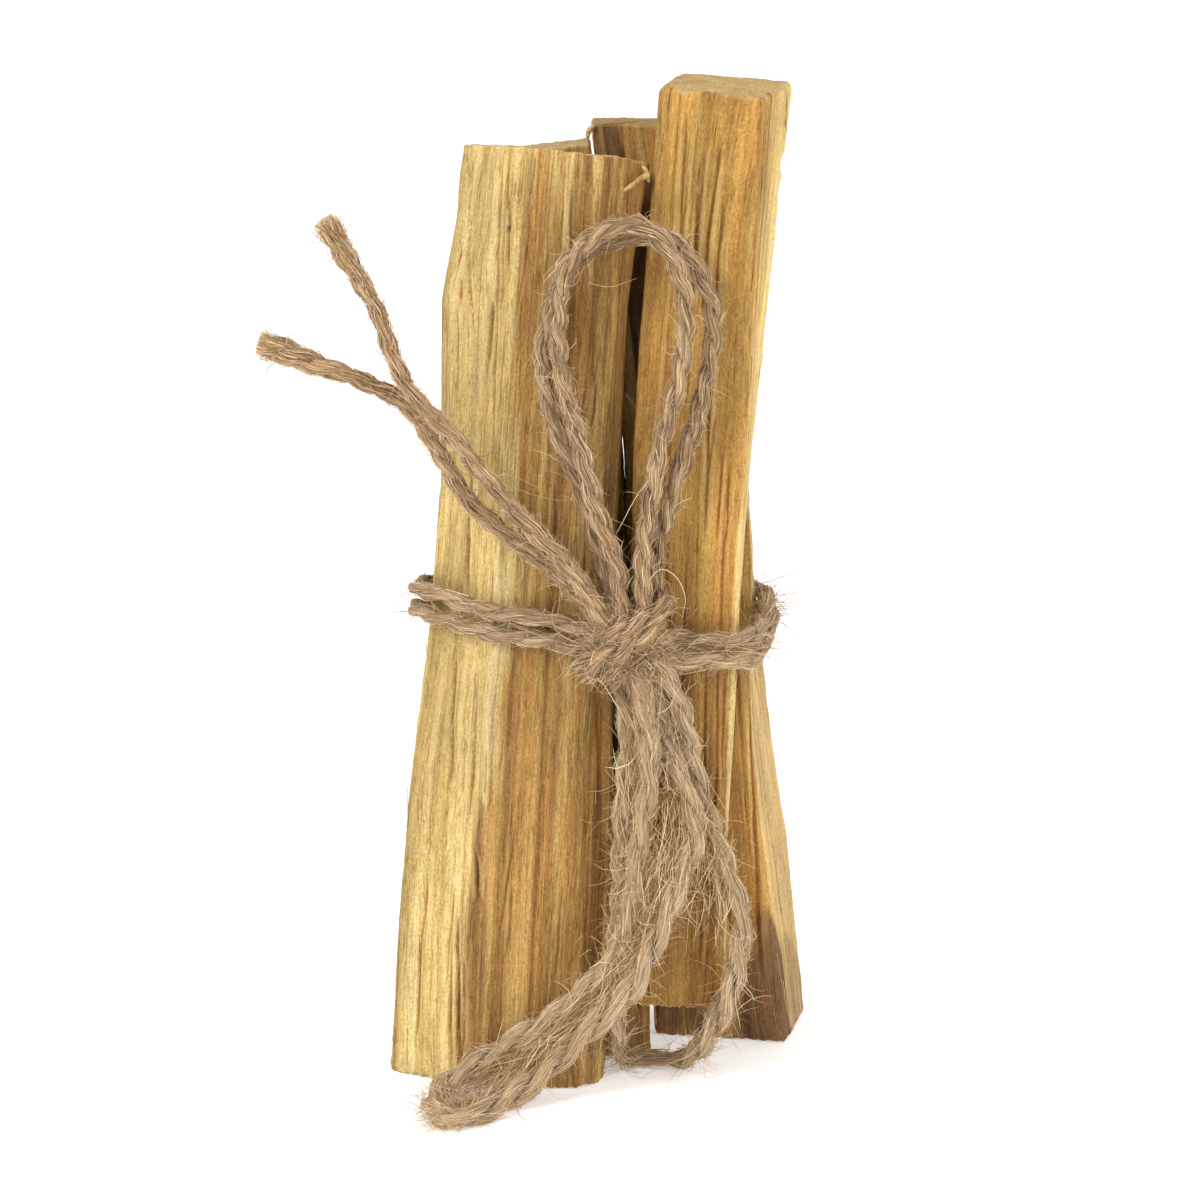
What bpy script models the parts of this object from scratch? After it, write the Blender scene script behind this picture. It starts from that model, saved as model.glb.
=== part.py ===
"""A tied bundle of four split palo santo sticks, standing on the cut feet of three of them.

Doubled jute twine goes once round the waist and ends in a bow at the front: one loop stands up,
one hangs down, the folded tail lies over a foot and along the floor, and two cut ends stick out.

The bundle is drawn in millimetres about the middle of its waist, with +X to the right, +Y to the
back and +Z up. BUNDLE_SHIFT then centres the box of the sticks, band and knot on the origin.
"""

from math import radians

import bmesh
import bpy
from mathutils import Matrix, Vector

MM = 0.001
BUNDLE_SHIFT = Vector((-0.02, 3.97, 0.0))

# Twine
TWINE_DIAMETER = 2.0
TWINE_SPACING = 2.0 * TWINE_DIAMETER
TWINE_BEVEL_RESOLUTION = 2

# Knot
KNOT_CENTRE = Vector((3.0, -16.4, 49.9))
KNOT_CORE = Vector((3.9, 2.3, 3.4))
KNOT_WRAP_RADIUS = 3.0
KNOT_WRAP_THICKNESS = 0.85
KNOT_WRAP_TILTS = (-38.0, 24.0)

# Worn edges of the split wood
EDGE_WEAR = 0.35
EDGE_WEAR_SEGMENTS = 2
SHARP_EDGE_ANGLE = 28.0

# Colour, roughness and metallic value of each material
FINISHES = {
    "wood_front_left": ((0.62, 0.42, 0.19), 0.72),
    "wood_front_right": ((0.55, 0.33, 0.11), 0.70),
    "wood_back_left": ((0.50, 0.33, 0.15), 0.74),
    "wood_back_right": ((0.42, 0.26, 0.11), 0.74),
    "jute_twine": ((0.44, 0.33, 0.21), 0.90),
}

# Each stick is a loft between sections, listed from its foot up: the height, then the corners
# as (x, y), anticlockwise seen from above, starting at the corner that faces front left.
FRONT_LEFT_SECTIONS = (
    (0.0, ((-12.8, -14.8), (-1.8, -14.6), (0.3, -12.3), (0.5, -5.9), (-19.8, -4.6), (-22.5, -9.0))),
    (13.0, ((-13.1, -14.2), (-2.1, -14.2), (0.8, -12.0), (0.9, -5.4), (-19.3, -3.9), (-21.9, -8.5))),
    (19.0, ((-13.1, -14.0), (-2.3, -14.0), (1.0, -11.8), (1.1, -5.0), (-19.0, -3.6), (-21.5, -8.2))),
    (30.0, ((-12.8, -13.3), (-2.4, -13.5), (1.3, -11.2), (1.3, -4.3), (-18.2, -3.1), (-20.6, -7.5))),
    (47.0, ((-11.0, -12.3), (-1.7, -12.7), (1.3, -10.1), (1.3, -3.2), (-16.9, -2.4), (-18.4, -6.2))),
    (64.0, ((-10.1, -11.6), (0.0, -12.0), (2.1, -9.2), (2.0, -2.5), (-15.6, -1.7), (-16.9, -5.3))),
    (84.0, ((-9.3, -10.8), (1.6, -11.4), (2.8, -8.6), (2.7, -1.8), (-15.2, -1.1), (-16.6, -4.6))),
    (92.0, ((-9.1, -10.4), (1.9, -11.2), (3.8, -8.3), (3.6, -1.6), (-13.8, -0.9), (-15.1, -4.2))),
    (99.65, ((-8.8, -10.0), (2.3, -11.0), (5.1, -8.1), (4.7, -1.5), (-13.0, -0.7), (-14.2, -3.6))),
)
FRONT_RIGHT_SECTIONS = (
    (8.0, ((3.0, -10.6), (12.9, -12.0), (13.2, -3.6), (5.9, -2.4))),
    (28.0, ((3.0, -11.0), (13.3, -12.4), (13.6, -3.8), (5.1, -2.8))),
    (50.0, ((3.1, -11.4), (14.2, -12.9), (14.85, -4.2), (4.7, -3.2))),
    (68.0, ((3.4, -11.0), (15.1, -13.2), (16.0, -4.4), (4.6, -2.8))),
    (80.0, ((4.0, -10.3), (15.5, -13.2), (17.2, -4.4), (5.6, -2.2))),
    (92.0, ((4.9, -9.5), (16.1, -13.1), (18.4, -4.4), (6.8, -1.4))),
    (107.05, ((6.1, -8.6), (16.6, -12.8), (20.0, -2.6), (8.3, -0.2))),
)
BACK_LEFT_SECTIONS = (
    (0.0, ((-7.5, -4.1), (5.3, -4.4), (5.3, 4.6), (-6.5, 5.4))),
    (28.0, ((-8.2, -3.0), (3.9, -3.5), (4.4, 5.6), (-7.6, 6.2))),
    (50.0, ((-9.2, -1.7), (3.0, -2.3), (3.5, 6.9), (-8.9, 7.3))),
    (66.0, ((-9.9, -1.1), (2.2, -1.7), (2.3, 7.5), (-9.8, 7.9))),
    (84.0, ((-10.6, -0.4), (0.6, -0.9), (0.2, 8.3), (-10.7, 8.7))),
    (98.25, ((-11.2, 0.2), (-1.2, 0.2), (-1.1, 9.0), (-11.4, 9.4))),
)
BACK_RIGHT_SECTIONS = (
    (0.0, ((6.0, 2.6), (20.1, 0.0), (22.5, 10.6), (6.6, 11.6))),
    (22.0, ((5.0, 0.6), (17.65, -1.9), (20.3, 7.8), (5.8, 9.4))),
    (34.0, ((4.3, -0.8), (16.3, -2.7), (18.5, 6.6), (5.1, 8.4))),
    (44.0, ((3.7, -1.9), (15.9, -3.3), (17.4, 5.6), (4.6, 7.6))),
    (55.0, ((3.3, -2.2), (16.15, -3.4), (16.0, 5.6), (3.9, 7.6))),
    (66.0, ((2.65, -1.7), (15.3, -3.0), (15.3, 6.2), (2.75, 8.0))),
    (84.0, ((1.2, -0.6), (12.9, -1.6), (13.0, 7.4), (0.8, 8.8))),
    (100.75, ((-0.9, 1.5), (10.8, 0.6), (11.0, 9.6), (-1.0, 10.4))),
)

# Each stick: its sections, its material, and how its upper cut slopes along X and along Y.
STICKS = {
    "stick_front_left": (FRONT_LEFT_SECTIONS, "wood_front_left", (-0.12, -0.30)),
    "stick_front_right": (FRONT_RIGHT_SECTIONS, "wood_front_right", (-0.04, 0.0)),
    "stick_back_left": (BACK_LEFT_SECTIONS, "wood_back_left", (0.12, -0.14)),
    "stick_back_right": (BACK_RIGHT_SECTIONS, "wood_back_right", (0.0, -0.12)),
}

# The two strands of the band, from the knot's left side round the back to its right side.
BAND_UPPER_ROUTE = (
    (-1.9, -14.9, 51.1), (-4.4, -14.6, 51.9), (-7.4, -14.1, 52.3), (-10.8, -13.6, 52.5),
    (-14.0, -11.7, 52.9), (-17.0, -9.1, 53.2), (-19.2, -6.2, 53.1), (-18.5, -2.8, 52.6),
    (-16.0, 0.9, 52.3), (-13.1, 4.9, 52.0), (-10.1, 8.7, 51.7), (-4.0, 9.1, 51.3),
    (4.0, 9.3, 50.6), (11.0, 8.6, 49.9), (15.0, 8.2, 49.3), (17.6, 6.8, 49.0),
    (17.8, 2.5, 49.5), (17.4, -3.0, 49.8), (16.8, -8.0, 49.95), (16.1, -12.9, 49.95),
    (14.1, -14.8, 49.85), (11.1, -14.5, 49.8), (8.1, -14.6, 49.9),
)  # fmt: skip
BAND_LOWER_ROUTE = (
    (-1.9, -14.9, 48.7), (-4.4, -14.7, 49.5), (-7.4, -14.2, 49.95), (-10.8, -13.7, 50.2),
    (-14.1, -11.8, 50.5), (-17.1, -9.2, 50.8), (-19.35, -6.3, 50.8), (-18.9, -2.8, 50.2),
    (-16.3, 0.9, 49.9), (-13.4, 4.9, 49.6), (-10.1, 8.7, 49.3), (-4.0, 9.0, 48.9),
    (4.0, 9.2, 48.2), (11.0, 8.7, 47.5), (15.1, 8.4, 46.9), (18.1, 7.1, 46.6),
    (18.1, 2.5, 46.95), (17.6, -3.0, 47.1), (17.0, -8.0, 47.35), (16.0, -13.2, 47.5),
    (14.1, -15.4, 47.7), (11.0, -16.0, 48.0), (8.0, -16.1, 48.15),
)  # fmt: skip

# The free twine. Both loops and the tail start and end at the knot.
BOW_OUTER_ROUTE = (
    (1.5, -14.8, 54.4), (0.2, -14.9, 59.0), (-2.4, -14.6, 67.0), (-4.8, -14.3, 73.2),
    (-5.7, -14.0, 78.4), (-5.5, -13.8, 83.4), (-4.3, -13.7, 87.2), (-2.8, -13.7, 89.8),
    (-0.9, -13.7, 91.4), (1.4, -13.8, 92.4), (3.6, -13.9, 92.8), (5.7, -14.2, 92.9),
    (7.5, -14.6, 92.4), (9.1, -15.0, 91.0), (10.4, -15.4, 89.1), (11.3, -15.7, 86.6),
    (11.6, -15.9, 83.6), (11.2, -16.0, 79.8), (10.3, -16.0, 75.6), (9.0, -16.0, 70.7),
    (7.2, -15.9, 65.4), (6.0, -15.6, 59.4), (5.3, -15.2, 54.4),
)  # fmt: skip
BOW_INNER_ROUTE = (
    (2.3, -17.1, 54.5), (1.6, -17.3, 59.2), (-0.5, -17.0, 65.5), (-2.2, -16.5, 72.2),
    (-3.4, -16.3, 77.0), (-4.1, -16.2, 80.6), (-4.3, -16.2, 84.4), (-4.1, -16.2, 87.6),
    (-3.3, -16.2, 90.3), (-1.7, -16.2, 92.4), (0.3, -16.3, 93.8), (2.3, -16.5, 94.6),
    (4.2, -16.7, 94.5), (5.8, -17.0, 93.5), (7.2, -17.4, 91.7), (8.2, -17.8, 89.3),
    (8.7, -18.1, 86.4), (8.7, -18.3, 83.0), (7.9, -18.4, 78.2), (6.7, -18.3, 73.2),
    (5.7, -18.2, 68.6), (4.9, -18.0, 64.2), (4.5, -17.8, 59.3), (4.5, -17.4, 54.5),
)  # fmt: skip
CUT_END_LOWER_ROUTE = (
    (-0.6, -15.3, 53.0), (-2.6, -15.6, 55.3), (-5.3, -15.4, 58.0), (-8.3, -15.2, 60.3),
    (-11.4, -15.0, 62.8), (-14.5, -14.6, 66.2), (-17.1, -14.2, 70.6), (-19.6, -14.0, 74.4),
    (-22.7, -14.0, 76.7), (-26.3, -14.0, 78.2), (-29.7, -14.0, 79.5), (-32.5, -14.0, 80.6),
    (-34.8, -14.0, 81.3),
)  # fmt: skip
CUT_END_UPPER_ROUTE = (
    (0.2, -17.8, 53.5), (-1.8, -18.0, 56.6), (-4.7, -17.9, 60.3), (-7.6, -17.6, 63.3),
    (-10.4, -17.3, 66.3), (-13.4, -16.9, 70.2), (-16.5, -16.6, 73.6), (-19.3, -16.4, 76.8),
    (-21.2, -16.2, 80.4), (-22.8, -16.0, 85.0), (-24.8, -16.0, 89.2), (-26.6, -16.0, 92.4),
    (-28.0, -16.0, 94.6),
)  # fmt: skip
HANGING_LOOP_ROUTE = (
    (2.4, -15.2, 45.3), (2.8, -15.3, 41.0), (2.8, -15.4, 36.5), (2.4, -15.4, 32.0),
    (2.2, -15.4, 27.1), (2.0, -15.5, 22.2), (1.7, -15.5, 17.2), (1.8, -15.2, 12.1),
    (1.9, -14.0, 7.6), (2.0, -11.4, 3.6), (2.6, -9.0, 1.4), (4.4, -7.9, 1.1),
    (6.4, -7.8, 1.1), (8.4, -8.6, 1.2), (10.0, -10.6, 2.6), (11.4, -12.8, 5.2),
    (12.8, -13.8, 8.2), (14.2, -14.0, 12.0), (14.9, -14.3, 16.2), (14.8, -14.5, 20.6),
    (13.5, -14.4, 24.7), (12.3, -14.4, 28.2), (10.9, -14.2, 32.2), (9.8, -14.3, 36.9),
    (8.7, -15.1, 41.6), (7.6, -16.4, 45.6),
)  # fmt: skip
TAIL_ROUTE = (
    (4.1, -17.7, 45.3), (5.0, -18.0, 41.0), (5.2, -18.1, 36.2), (4.6, -18.1, 31.8),
    (3.9, -18.1, 27.3), (3.4, -18.1, 23.0), (2.6, -18.1, 18.8), (1.0, -18.0, 15.4),
    (-0.8, -17.8, 13.2), (-2.8, -17.4, 11.0), (-5.5, -17.2, 8.8), (-8.9, -17.1, 6.5),
    (-12.5, -17.2, 4.3), (-15.5, -17.9, 2.4), (-17.3, -20.0, 1.2), (-17.6, -23.0, 1.1),
    (-16.4, -25.8, 1.1), (-14.2, -26.2, 1.1), (-11.6, -23.7, 1.2), (-9.0, -21.0, 1.7),
    (-6.6, -19.8, 3.0), (-4.4, -19.6, 5.0), (-2.2, -19.6, 7.4), (0.2, -19.8, 9.8),
    (2.6, -20.1, 12.4), (4.6, -20.0, 15.6), (6.2, -19.0, 19.4), (7.9, -17.8, 23.2),
    (9.3, -17.0, 26.4), (10.1, -16.6, 29.8), (9.2, -16.2, 33.6), (7.6, -15.8, 37.4),
    (6.2, -15.4, 41.4), (5.5, -15.2, 45.2),
)  # fmt: skip

FREE_TWINE = {
    "bow_loop_outer": BOW_OUTER_ROUTE,
    "bow_loop_inner": BOW_INNER_ROUTE,
    "cut_end_lower": CUT_END_LOWER_ROUTE,
    "cut_end_upper": CUT_END_UPPER_ROUTE,
    "hanging_loop": HANGING_LOOP_ROUTE,
    "folded_tail": TAIL_ROUTE,
}
BAND_TWINE = {
    "band_upper_strand": BAND_UPPER_ROUTE,
    "band_lower_strand": BAND_LOWER_ROUTE,
}


def clear_scene():
    for old in list(bpy.data.objects):
        bpy.data.objects.remove(old, do_unlink=True)


def new_collection(name):
    collection = bpy.data.collections.new(name)
    bpy.context.scene.collection.children.link(collection)
    return collection


def make_material(name):
    colour, roughness = FINISHES[name]
    material = bpy.data.materials.new(name)
    material.use_nodes = True
    shader = material.node_tree.nodes["Principled BSDF"]
    shader.inputs["Base Color"].default_value = (*colour, 1.0)
    shader.inputs["Roughness"].default_value = roughness
    shader.inputs["Metallic"].default_value = 0.0
    return material


def place(name, data, collection, parent, material):
    """A new object under the bundle's empty."""
    placed = bpy.data.objects.new(name, data)
    placed.parent = parent
    placed.data.materials.append(material)
    collection.objects.link(placed)
    return placed


def cut_ring(mesh, height, corners, slope):
    """The corners of one section, on a plane that slopes about the section's middle."""
    middle_x = sum(x for x, _ in corners) / len(corners)
    middle_y = sum(y for _, y in corners) / len(corners)
    ring = []
    for x, y in corners:
        z = height + slope[0] * (x - middle_x) + slope[1] * (y - middle_y)
        ring.append(mesh.verts.new(Vector((x, y, z)) * MM))
    return ring


def split_stick(name, sections, top_slope):
    """One split stick, a loft between its unlike sections, with its arrises worn."""
    mesh = bmesh.new()
    last = len(sections) - 1
    rings = []
    for index, (height, corners) in enumerate(sections):
        slope = top_slope if index == last else (0.0, 0.0)
        rings.append(cut_ring(mesh, height, corners, slope))
    for below, above in zip(rings, rings[1:]):
        for corner in range(len(below)):
            after = (corner + 1) % len(below)
            mesh.faces.new((below[corner], below[after], above[after], above[corner]))
    mesh.faces.new(reversed(rings[0]))
    mesh.faces.new(rings[-1])
    data = bpy.data.meshes.new(name)
    mesh.to_mesh(data)
    mesh.free()
    return data


def wear_edges(stick):
    bevel = stick.modifiers.new("worn_edges", "BEVEL")
    bevel.width = EDGE_WEAR * MM
    bevel.segments = EDGE_WEAR_SEGMENTS
    bevel.limit_method = "ANGLE"
    bevel.angle_limit = radians(SHARP_EDGE_ANGLE)


def curve_point(before, start, end, after, part):
    """A point on the Catmull-Rom curve between start and end."""
    return 0.5 * (
        2.0 * start
        + (end - before) * part
        + (2.0 * before - 5.0 * start + 4.0 * end - after) * part**2
        + (3.0 * start - before - 3.0 * end + after) * part**3
    )


def smooth_route(route, spacing):
    """Points at an even spacing along a smooth curve through the route's points."""
    stops = [Vector(point) for point in route]
    stops = [2.0 * stops[0] - stops[1], *stops, 2.0 * stops[-1] - stops[-2]]
    fine = []
    steps = 24
    for before, start, end, after in zip(stops, stops[1:], stops[2:], stops[3:]):
        fine += [curve_point(before, start, end, after, step / steps) for step in range(steps)]
    fine.append(stops[-2])
    lengths = [0.0]
    for one, two in zip(fine, fine[1:]):
        lengths.append(lengths[-1] + (two - one).length)
    count = max(2, round(lengths[-1] / spacing))
    points = []
    index = 0
    for number in range(count + 1):
        want = lengths[-1] * number / count
        while index < len(lengths) - 2 and lengths[index + 1] < want:
            index += 1
        part = (want - lengths[index]) / (lengths[index + 1] - lengths[index])
        points.append(fine[index].lerp(fine[index + 1], part))
    return points


def twine(name, route):
    """One strand of twine as a round tube with closed ends."""
    data = bpy.data.curves.new(name, "CURVE")
    data.dimensions = "3D"
    data.bevel_depth = TWINE_DIAMETER / 2 * MM
    data.bevel_resolution = TWINE_BEVEL_RESOLUTION
    data.use_fill_caps = True
    points = smooth_route(route, TWINE_SPACING)
    spline = data.splines.new("POLY")
    spline.points.add(len(points) - 1)
    for spot, point in zip(spline.points, points):
        spot.co = (*(point * MM), 1.0)
    return data


def knot_core():
    mesh = bmesh.new()
    bmesh.ops.create_uvsphere(mesh, u_segments=20, v_segments=12, radius=MM)
    bmesh.ops.scale(mesh, vec=KNOT_CORE, verts=mesh.verts)
    bmesh.ops.translate(mesh, vec=KNOT_CENTRE * MM, verts=mesh.verts)
    data = bpy.data.meshes.new("twine_knot")
    mesh.to_mesh(data)
    mesh.free()
    data.shade_smooth()
    return data


def knot_wrap(number, tilt, collection, parent):
    """A turn of twine round the knot, as a ring in a plane tilted from upright."""
    bpy.ops.mesh.primitive_torus_add(
        major_radius=KNOT_WRAP_RADIUS * MM,
        minor_radius=KNOT_WRAP_THICKNESS * MM,
        major_segments=20,
        minor_segments=8,
    )
    wrap = bpy.context.object
    wrap.name = f"knot_wrap_{number}"
    turned = Matrix.Rotation(radians(tilt), 4, "Y") @ Matrix.Scale(0.80, 4, Vector((0, 1, 0)))
    wrap.data.transform(turned)
    wrap.data.transform(Matrix.Translation(KNOT_CENTRE * MM))
    for holder in list(wrap.users_collection):
        holder.objects.unlink(wrap)
    collection.objects.link(wrap)
    wrap.parent = parent
    wrap.hide_render = True
    wrap.display_type = "WIRE"
    return wrap


def join_wraps(knot, wraps):
    for wrap in wraps:
        union = knot.modifiers.new(f"with_{wrap.name}", "BOOLEAN")
        union.operation = "UNION"
        union.solver = "EXACT"
        union.object = wrap


def main():
    clear_scene()
    bundle = new_collection("palo_santo_bundle")
    helpers = new_collection("joining_helpers")
    materials = {name: make_material(name) for name in FINISHES}
    middle = bpy.data.objects.new("bundle_middle", None)
    middle.location = BUNDLE_SHIFT * MM
    bundle.objects.link(middle)
    for name, (sections, slot, top_slope) in STICKS.items():
        data = split_stick(name, sections, top_slope)
        stick = place(name, data, bundle, middle, materials[slot])
        wear_edges(stick)
    for name, route in {**BAND_TWINE, **FREE_TWINE}.items():
        place(name, twine(name, route), bundle, middle, materials["jute_twine"])
    knot = place("twine_knot", knot_core(), bundle, middle, materials["jute_twine"])
    wraps = []
    for number, tilt in enumerate(KNOT_WRAP_TILTS, start=1):
        wraps.append(knot_wrap(number, tilt, helpers, middle))
    join_wraps(knot, wraps)


main()
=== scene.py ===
"""The look of a bundle of four split palo santo sticks tied with doubled jute twine.

Shapes are worked out in millimetres in the bundle's own coordinates, the ones its CAD source is
drawn in: +X right, +Y back, +Z up. They are moved by BUNDLE_SHIFT and scaled to metres last.
"""

import bpy
import numpy as np
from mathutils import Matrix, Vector
from mathutils.bvhtree import BVHTree


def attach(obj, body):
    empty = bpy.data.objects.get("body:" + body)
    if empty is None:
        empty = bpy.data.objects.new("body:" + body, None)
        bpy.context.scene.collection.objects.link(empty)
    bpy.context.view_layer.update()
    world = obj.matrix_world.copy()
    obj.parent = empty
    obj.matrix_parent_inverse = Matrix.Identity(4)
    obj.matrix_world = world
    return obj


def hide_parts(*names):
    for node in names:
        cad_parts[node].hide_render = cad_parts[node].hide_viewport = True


MM = 0.001
BUNDLE_SHIFT = np.array((-0.02, 3.97, 0.0))
TAU = 2.0 * np.pi

# ---------------------------------------------------------------- camera

CAMERA_PLACE = (0.0, -673.0, 243.0)
CAMERA_AIM = (0.0, 0.0, 50.0)
CAMERA_LENS = 197.4
SENSOR_WIDTH = 36.0

# ---------------------------------------------------------------- twine routes

BAND_UPPER_ROUTE = (
    (-1.9, -14.9, 51.1), (-4.4, -14.6, 51.9), (-7.4, -14.1, 52.3), (-10.8, -13.6, 52.5),
    (-14.0, -11.7, 52.9), (-17.0, -9.1, 53.2), (-19.2, -6.2, 53.1), (-18.5, -2.8, 52.6),
    (-16.0, 0.9, 52.3), (-13.1, 4.9, 52.0), (-10.1, 8.7, 51.7), (-4.0, 9.1, 51.3),
    (4.0, 9.3, 50.6), (11.0, 8.6, 49.9), (15.0, 8.2, 49.3), (17.6, 6.8, 49.0),
    (17.8, 2.5, 49.5), (17.4, -3.0, 49.8), (16.8, -8.0, 49.95), (16.1, -12.9, 49.95),
    (14.1, -14.8, 49.85), (11.1, -14.5, 49.8), (8.1, -14.6, 49.9),
)  # fmt: skip
BAND_LOWER_ROUTE = (
    (-1.9, -14.9, 48.7), (-4.4, -14.7, 49.5), (-7.4, -14.2, 49.95), (-10.8, -13.7, 50.2),
    (-14.1, -11.8, 50.5), (-17.1, -9.2, 50.8), (-19.35, -6.3, 50.8), (-18.9, -2.8, 50.2),
    (-16.3, 0.9, 49.9), (-13.4, 4.9, 49.6), (-10.1, 8.7, 49.3), (-4.0, 9.0, 48.9),
    (4.0, 9.2, 48.2), (11.0, 8.7, 47.5), (15.1, 8.4, 46.9), (18.1, 7.1, 46.6),
    (18.1, 2.5, 46.95), (17.6, -3.0, 47.1), (17.0, -8.0, 47.35), (16.0, -13.2, 47.5),
    (14.1, -15.4, 47.7), (11.0, -16.0, 48.0), (8.0, -16.1, 48.15),
)  # fmt: skip
BOW_OUTER_ROUTE = (
    (1.5, -14.8, 54.4), (0.2, -14.9, 59.0), (-2.4, -14.6, 67.0), (-4.8, -14.3, 73.2),
    (-5.7, -14.0, 78.4), (-5.5, -13.8, 83.4), (-4.3, -13.7, 87.2), (-2.8, -13.7, 89.8),
    (-0.9, -13.7, 91.4), (1.4, -13.8, 92.4), (3.6, -13.9, 92.8), (5.7, -14.2, 92.9),
    (7.5, -14.6, 92.4), (9.1, -15.0, 91.0), (10.4, -15.4, 89.1), (11.3, -15.7, 86.6),
    (11.6, -15.9, 83.6), (11.2, -16.0, 79.8), (10.3, -16.0, 75.6), (9.0, -16.0, 70.7),
    (7.2, -15.9, 65.4), (6.0, -15.6, 59.4), (5.3, -15.2, 54.4),
)  # fmt: skip
BOW_INNER_ROUTE = (
    (2.3, -17.1, 54.5), (1.6, -17.3, 59.2), (-0.5, -17.0, 65.5), (-2.2, -16.5, 72.2),
    (-3.4, -16.3, 77.0), (-4.1, -16.2, 80.6), (-4.3, -16.2, 84.4), (-4.1, -16.2, 87.6),
    (-3.3, -16.2, 90.3), (-1.7, -16.2, 92.4), (0.3, -16.3, 93.8), (2.3, -16.5, 94.6),
    (4.2, -16.7, 94.5), (5.8, -17.0, 93.5), (7.2, -17.4, 91.7), (8.2, -17.8, 89.3),
    (8.7, -18.1, 86.4), (8.7, -18.3, 83.0), (7.9, -18.4, 78.2), (6.7, -18.3, 73.2),
    (5.7, -18.2, 68.6), (4.9, -18.0, 64.2), (4.5, -17.8, 59.3), (4.5, -17.4, 54.5),
)  # fmt: skip
CUT_END_LOWER_ROUTE = (
    (-0.6, -15.3, 53.0), (-2.6, -15.6, 55.3), (-5.3, -15.4, 58.0), (-8.3, -15.2, 60.3),
    (-11.4, -15.0, 62.8), (-14.5, -14.6, 66.2), (-17.1, -14.2, 70.6), (-19.6, -14.0, 74.4),
    (-22.7, -14.0, 76.7), (-26.3, -14.0, 78.2), (-29.7, -14.0, 79.5), (-32.5, -14.0, 80.6),
    (-34.8, -14.0, 81.3),
)  # fmt: skip
CUT_END_UPPER_ROUTE = (
    (0.2, -17.8, 53.5), (-1.8, -18.0, 56.6), (-4.7, -17.9, 60.3), (-7.6, -17.6, 63.3),
    (-10.4, -17.3, 66.3), (-13.4, -16.9, 70.2), (-16.5, -16.6, 73.6), (-19.3, -16.4, 76.8),
    (-21.2, -16.2, 80.4), (-22.8, -16.0, 85.0), (-24.8, -16.0, 89.2), (-26.6, -16.0, 92.4),
    (-28.0, -16.0, 94.6),
)  # fmt: skip
HANGING_LOOP_ROUTE = (
    (2.4, -15.2, 45.3), (2.8, -15.3, 41.0), (2.8, -15.4, 36.5), (2.4, -15.4, 32.0),
    (2.2, -15.4, 27.1), (2.0, -15.5, 22.2), (1.7, -15.5, 17.2), (1.8, -15.2, 12.1),
    (1.9, -14.0, 7.6), (2.0, -11.4, 3.6), (2.6, -9.0, 1.4), (4.4, -7.9, 1.1),
    (6.4, -7.8, 1.1), (8.4, -8.6, 1.2), (10.0, -10.6, 2.6), (11.4, -12.8, 5.2),
    (12.8, -13.8, 8.2), (14.2, -14.0, 12.0), (14.9, -14.3, 16.2), (14.8, -14.5, 20.6),
    (13.5, -14.4, 24.7), (12.3, -14.4, 28.2), (10.9, -14.2, 32.2), (9.8, -14.3, 36.9),
    (8.7, -15.1, 41.6), (7.6, -16.4, 45.6),
)  # fmt: skip
TAIL_ROUTE = (
    (4.1, -17.7, 45.3), (5.0, -18.0, 41.0), (5.2, -18.1, 36.2), (4.6, -18.1, 31.8),
    (3.9, -18.1, 27.3), (3.4, -18.1, 23.0), (2.6, -18.1, 18.8), (1.0, -18.0, 15.4),
    (-0.8, -17.8, 13.2), (-2.8, -17.4, 11.0), (-5.5, -17.2, 8.8), (-8.9, -17.1, 6.5),
    (-12.5, -17.2, 4.3), (-15.5, -17.9, 2.4), (-17.3, -20.0, 1.2), (-17.6, -23.0, 1.1),
    (-16.4, -25.8, 1.1), (-14.2, -26.2, 1.1), (-11.6, -23.7, 1.2), (-9.0, -21.0, 1.7),
    (-6.6, -19.8, 3.0), (-4.4, -19.6, 5.0), (-2.2, -19.6, 7.4), (0.2, -19.8, 9.8),
    (2.6, -20.1, 12.4), (4.6, -20.0, 15.6), (6.2, -19.0, 19.4), (7.9, -17.8, 23.2),
    (9.3, -17.0, 26.4), (10.1, -16.6, 29.8), (9.2, -16.2, 33.6), (7.6, -15.8, 37.4),
    (6.2, -15.4, 41.4), (5.5, -15.2, 45.2),
)  # fmt: skip

# The routes above are the CAD's own, and end where the twine meets the knot. These carry each
# strand on under the knot's turns: a point before its first one, and a point after its last.
INTO_KNOT = {
    "band_upper_strand": ((1.2, -15.8, 50.8), (5.2, -15.7, 50.2)),
    "band_lower_strand": ((1.0, -15.8, 48.8), (5.0, -16.4, 48.4)),
    "bow_loop_outer": ((2.1, -15.2, 51.6), (4.7, -15.4, 51.6)),
    "bow_loop_inner": ((2.9, -17.0, 51.8), (4.3, -17.2, 51.8)),
    "cut_end_lower": ((1.2, -15.7, 51.2), None),
    "cut_end_upper": ((1.8, -17.0, 51.4), None),
    "hanging_loop": ((2.4, -15.4, 48.4), (5.7, -16.8, 48.6)),
    "folded_tail": ((3.5, -17.2, 48.4), (4.7, -15.5, 48.2)),
}


def through_knot(route, node):
    """The CAD's route with its ends carried on under the knot's turns."""
    before, after = INTO_KNOT[node]
    return (before, *route) if after is None else (before, *route, after)


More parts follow.
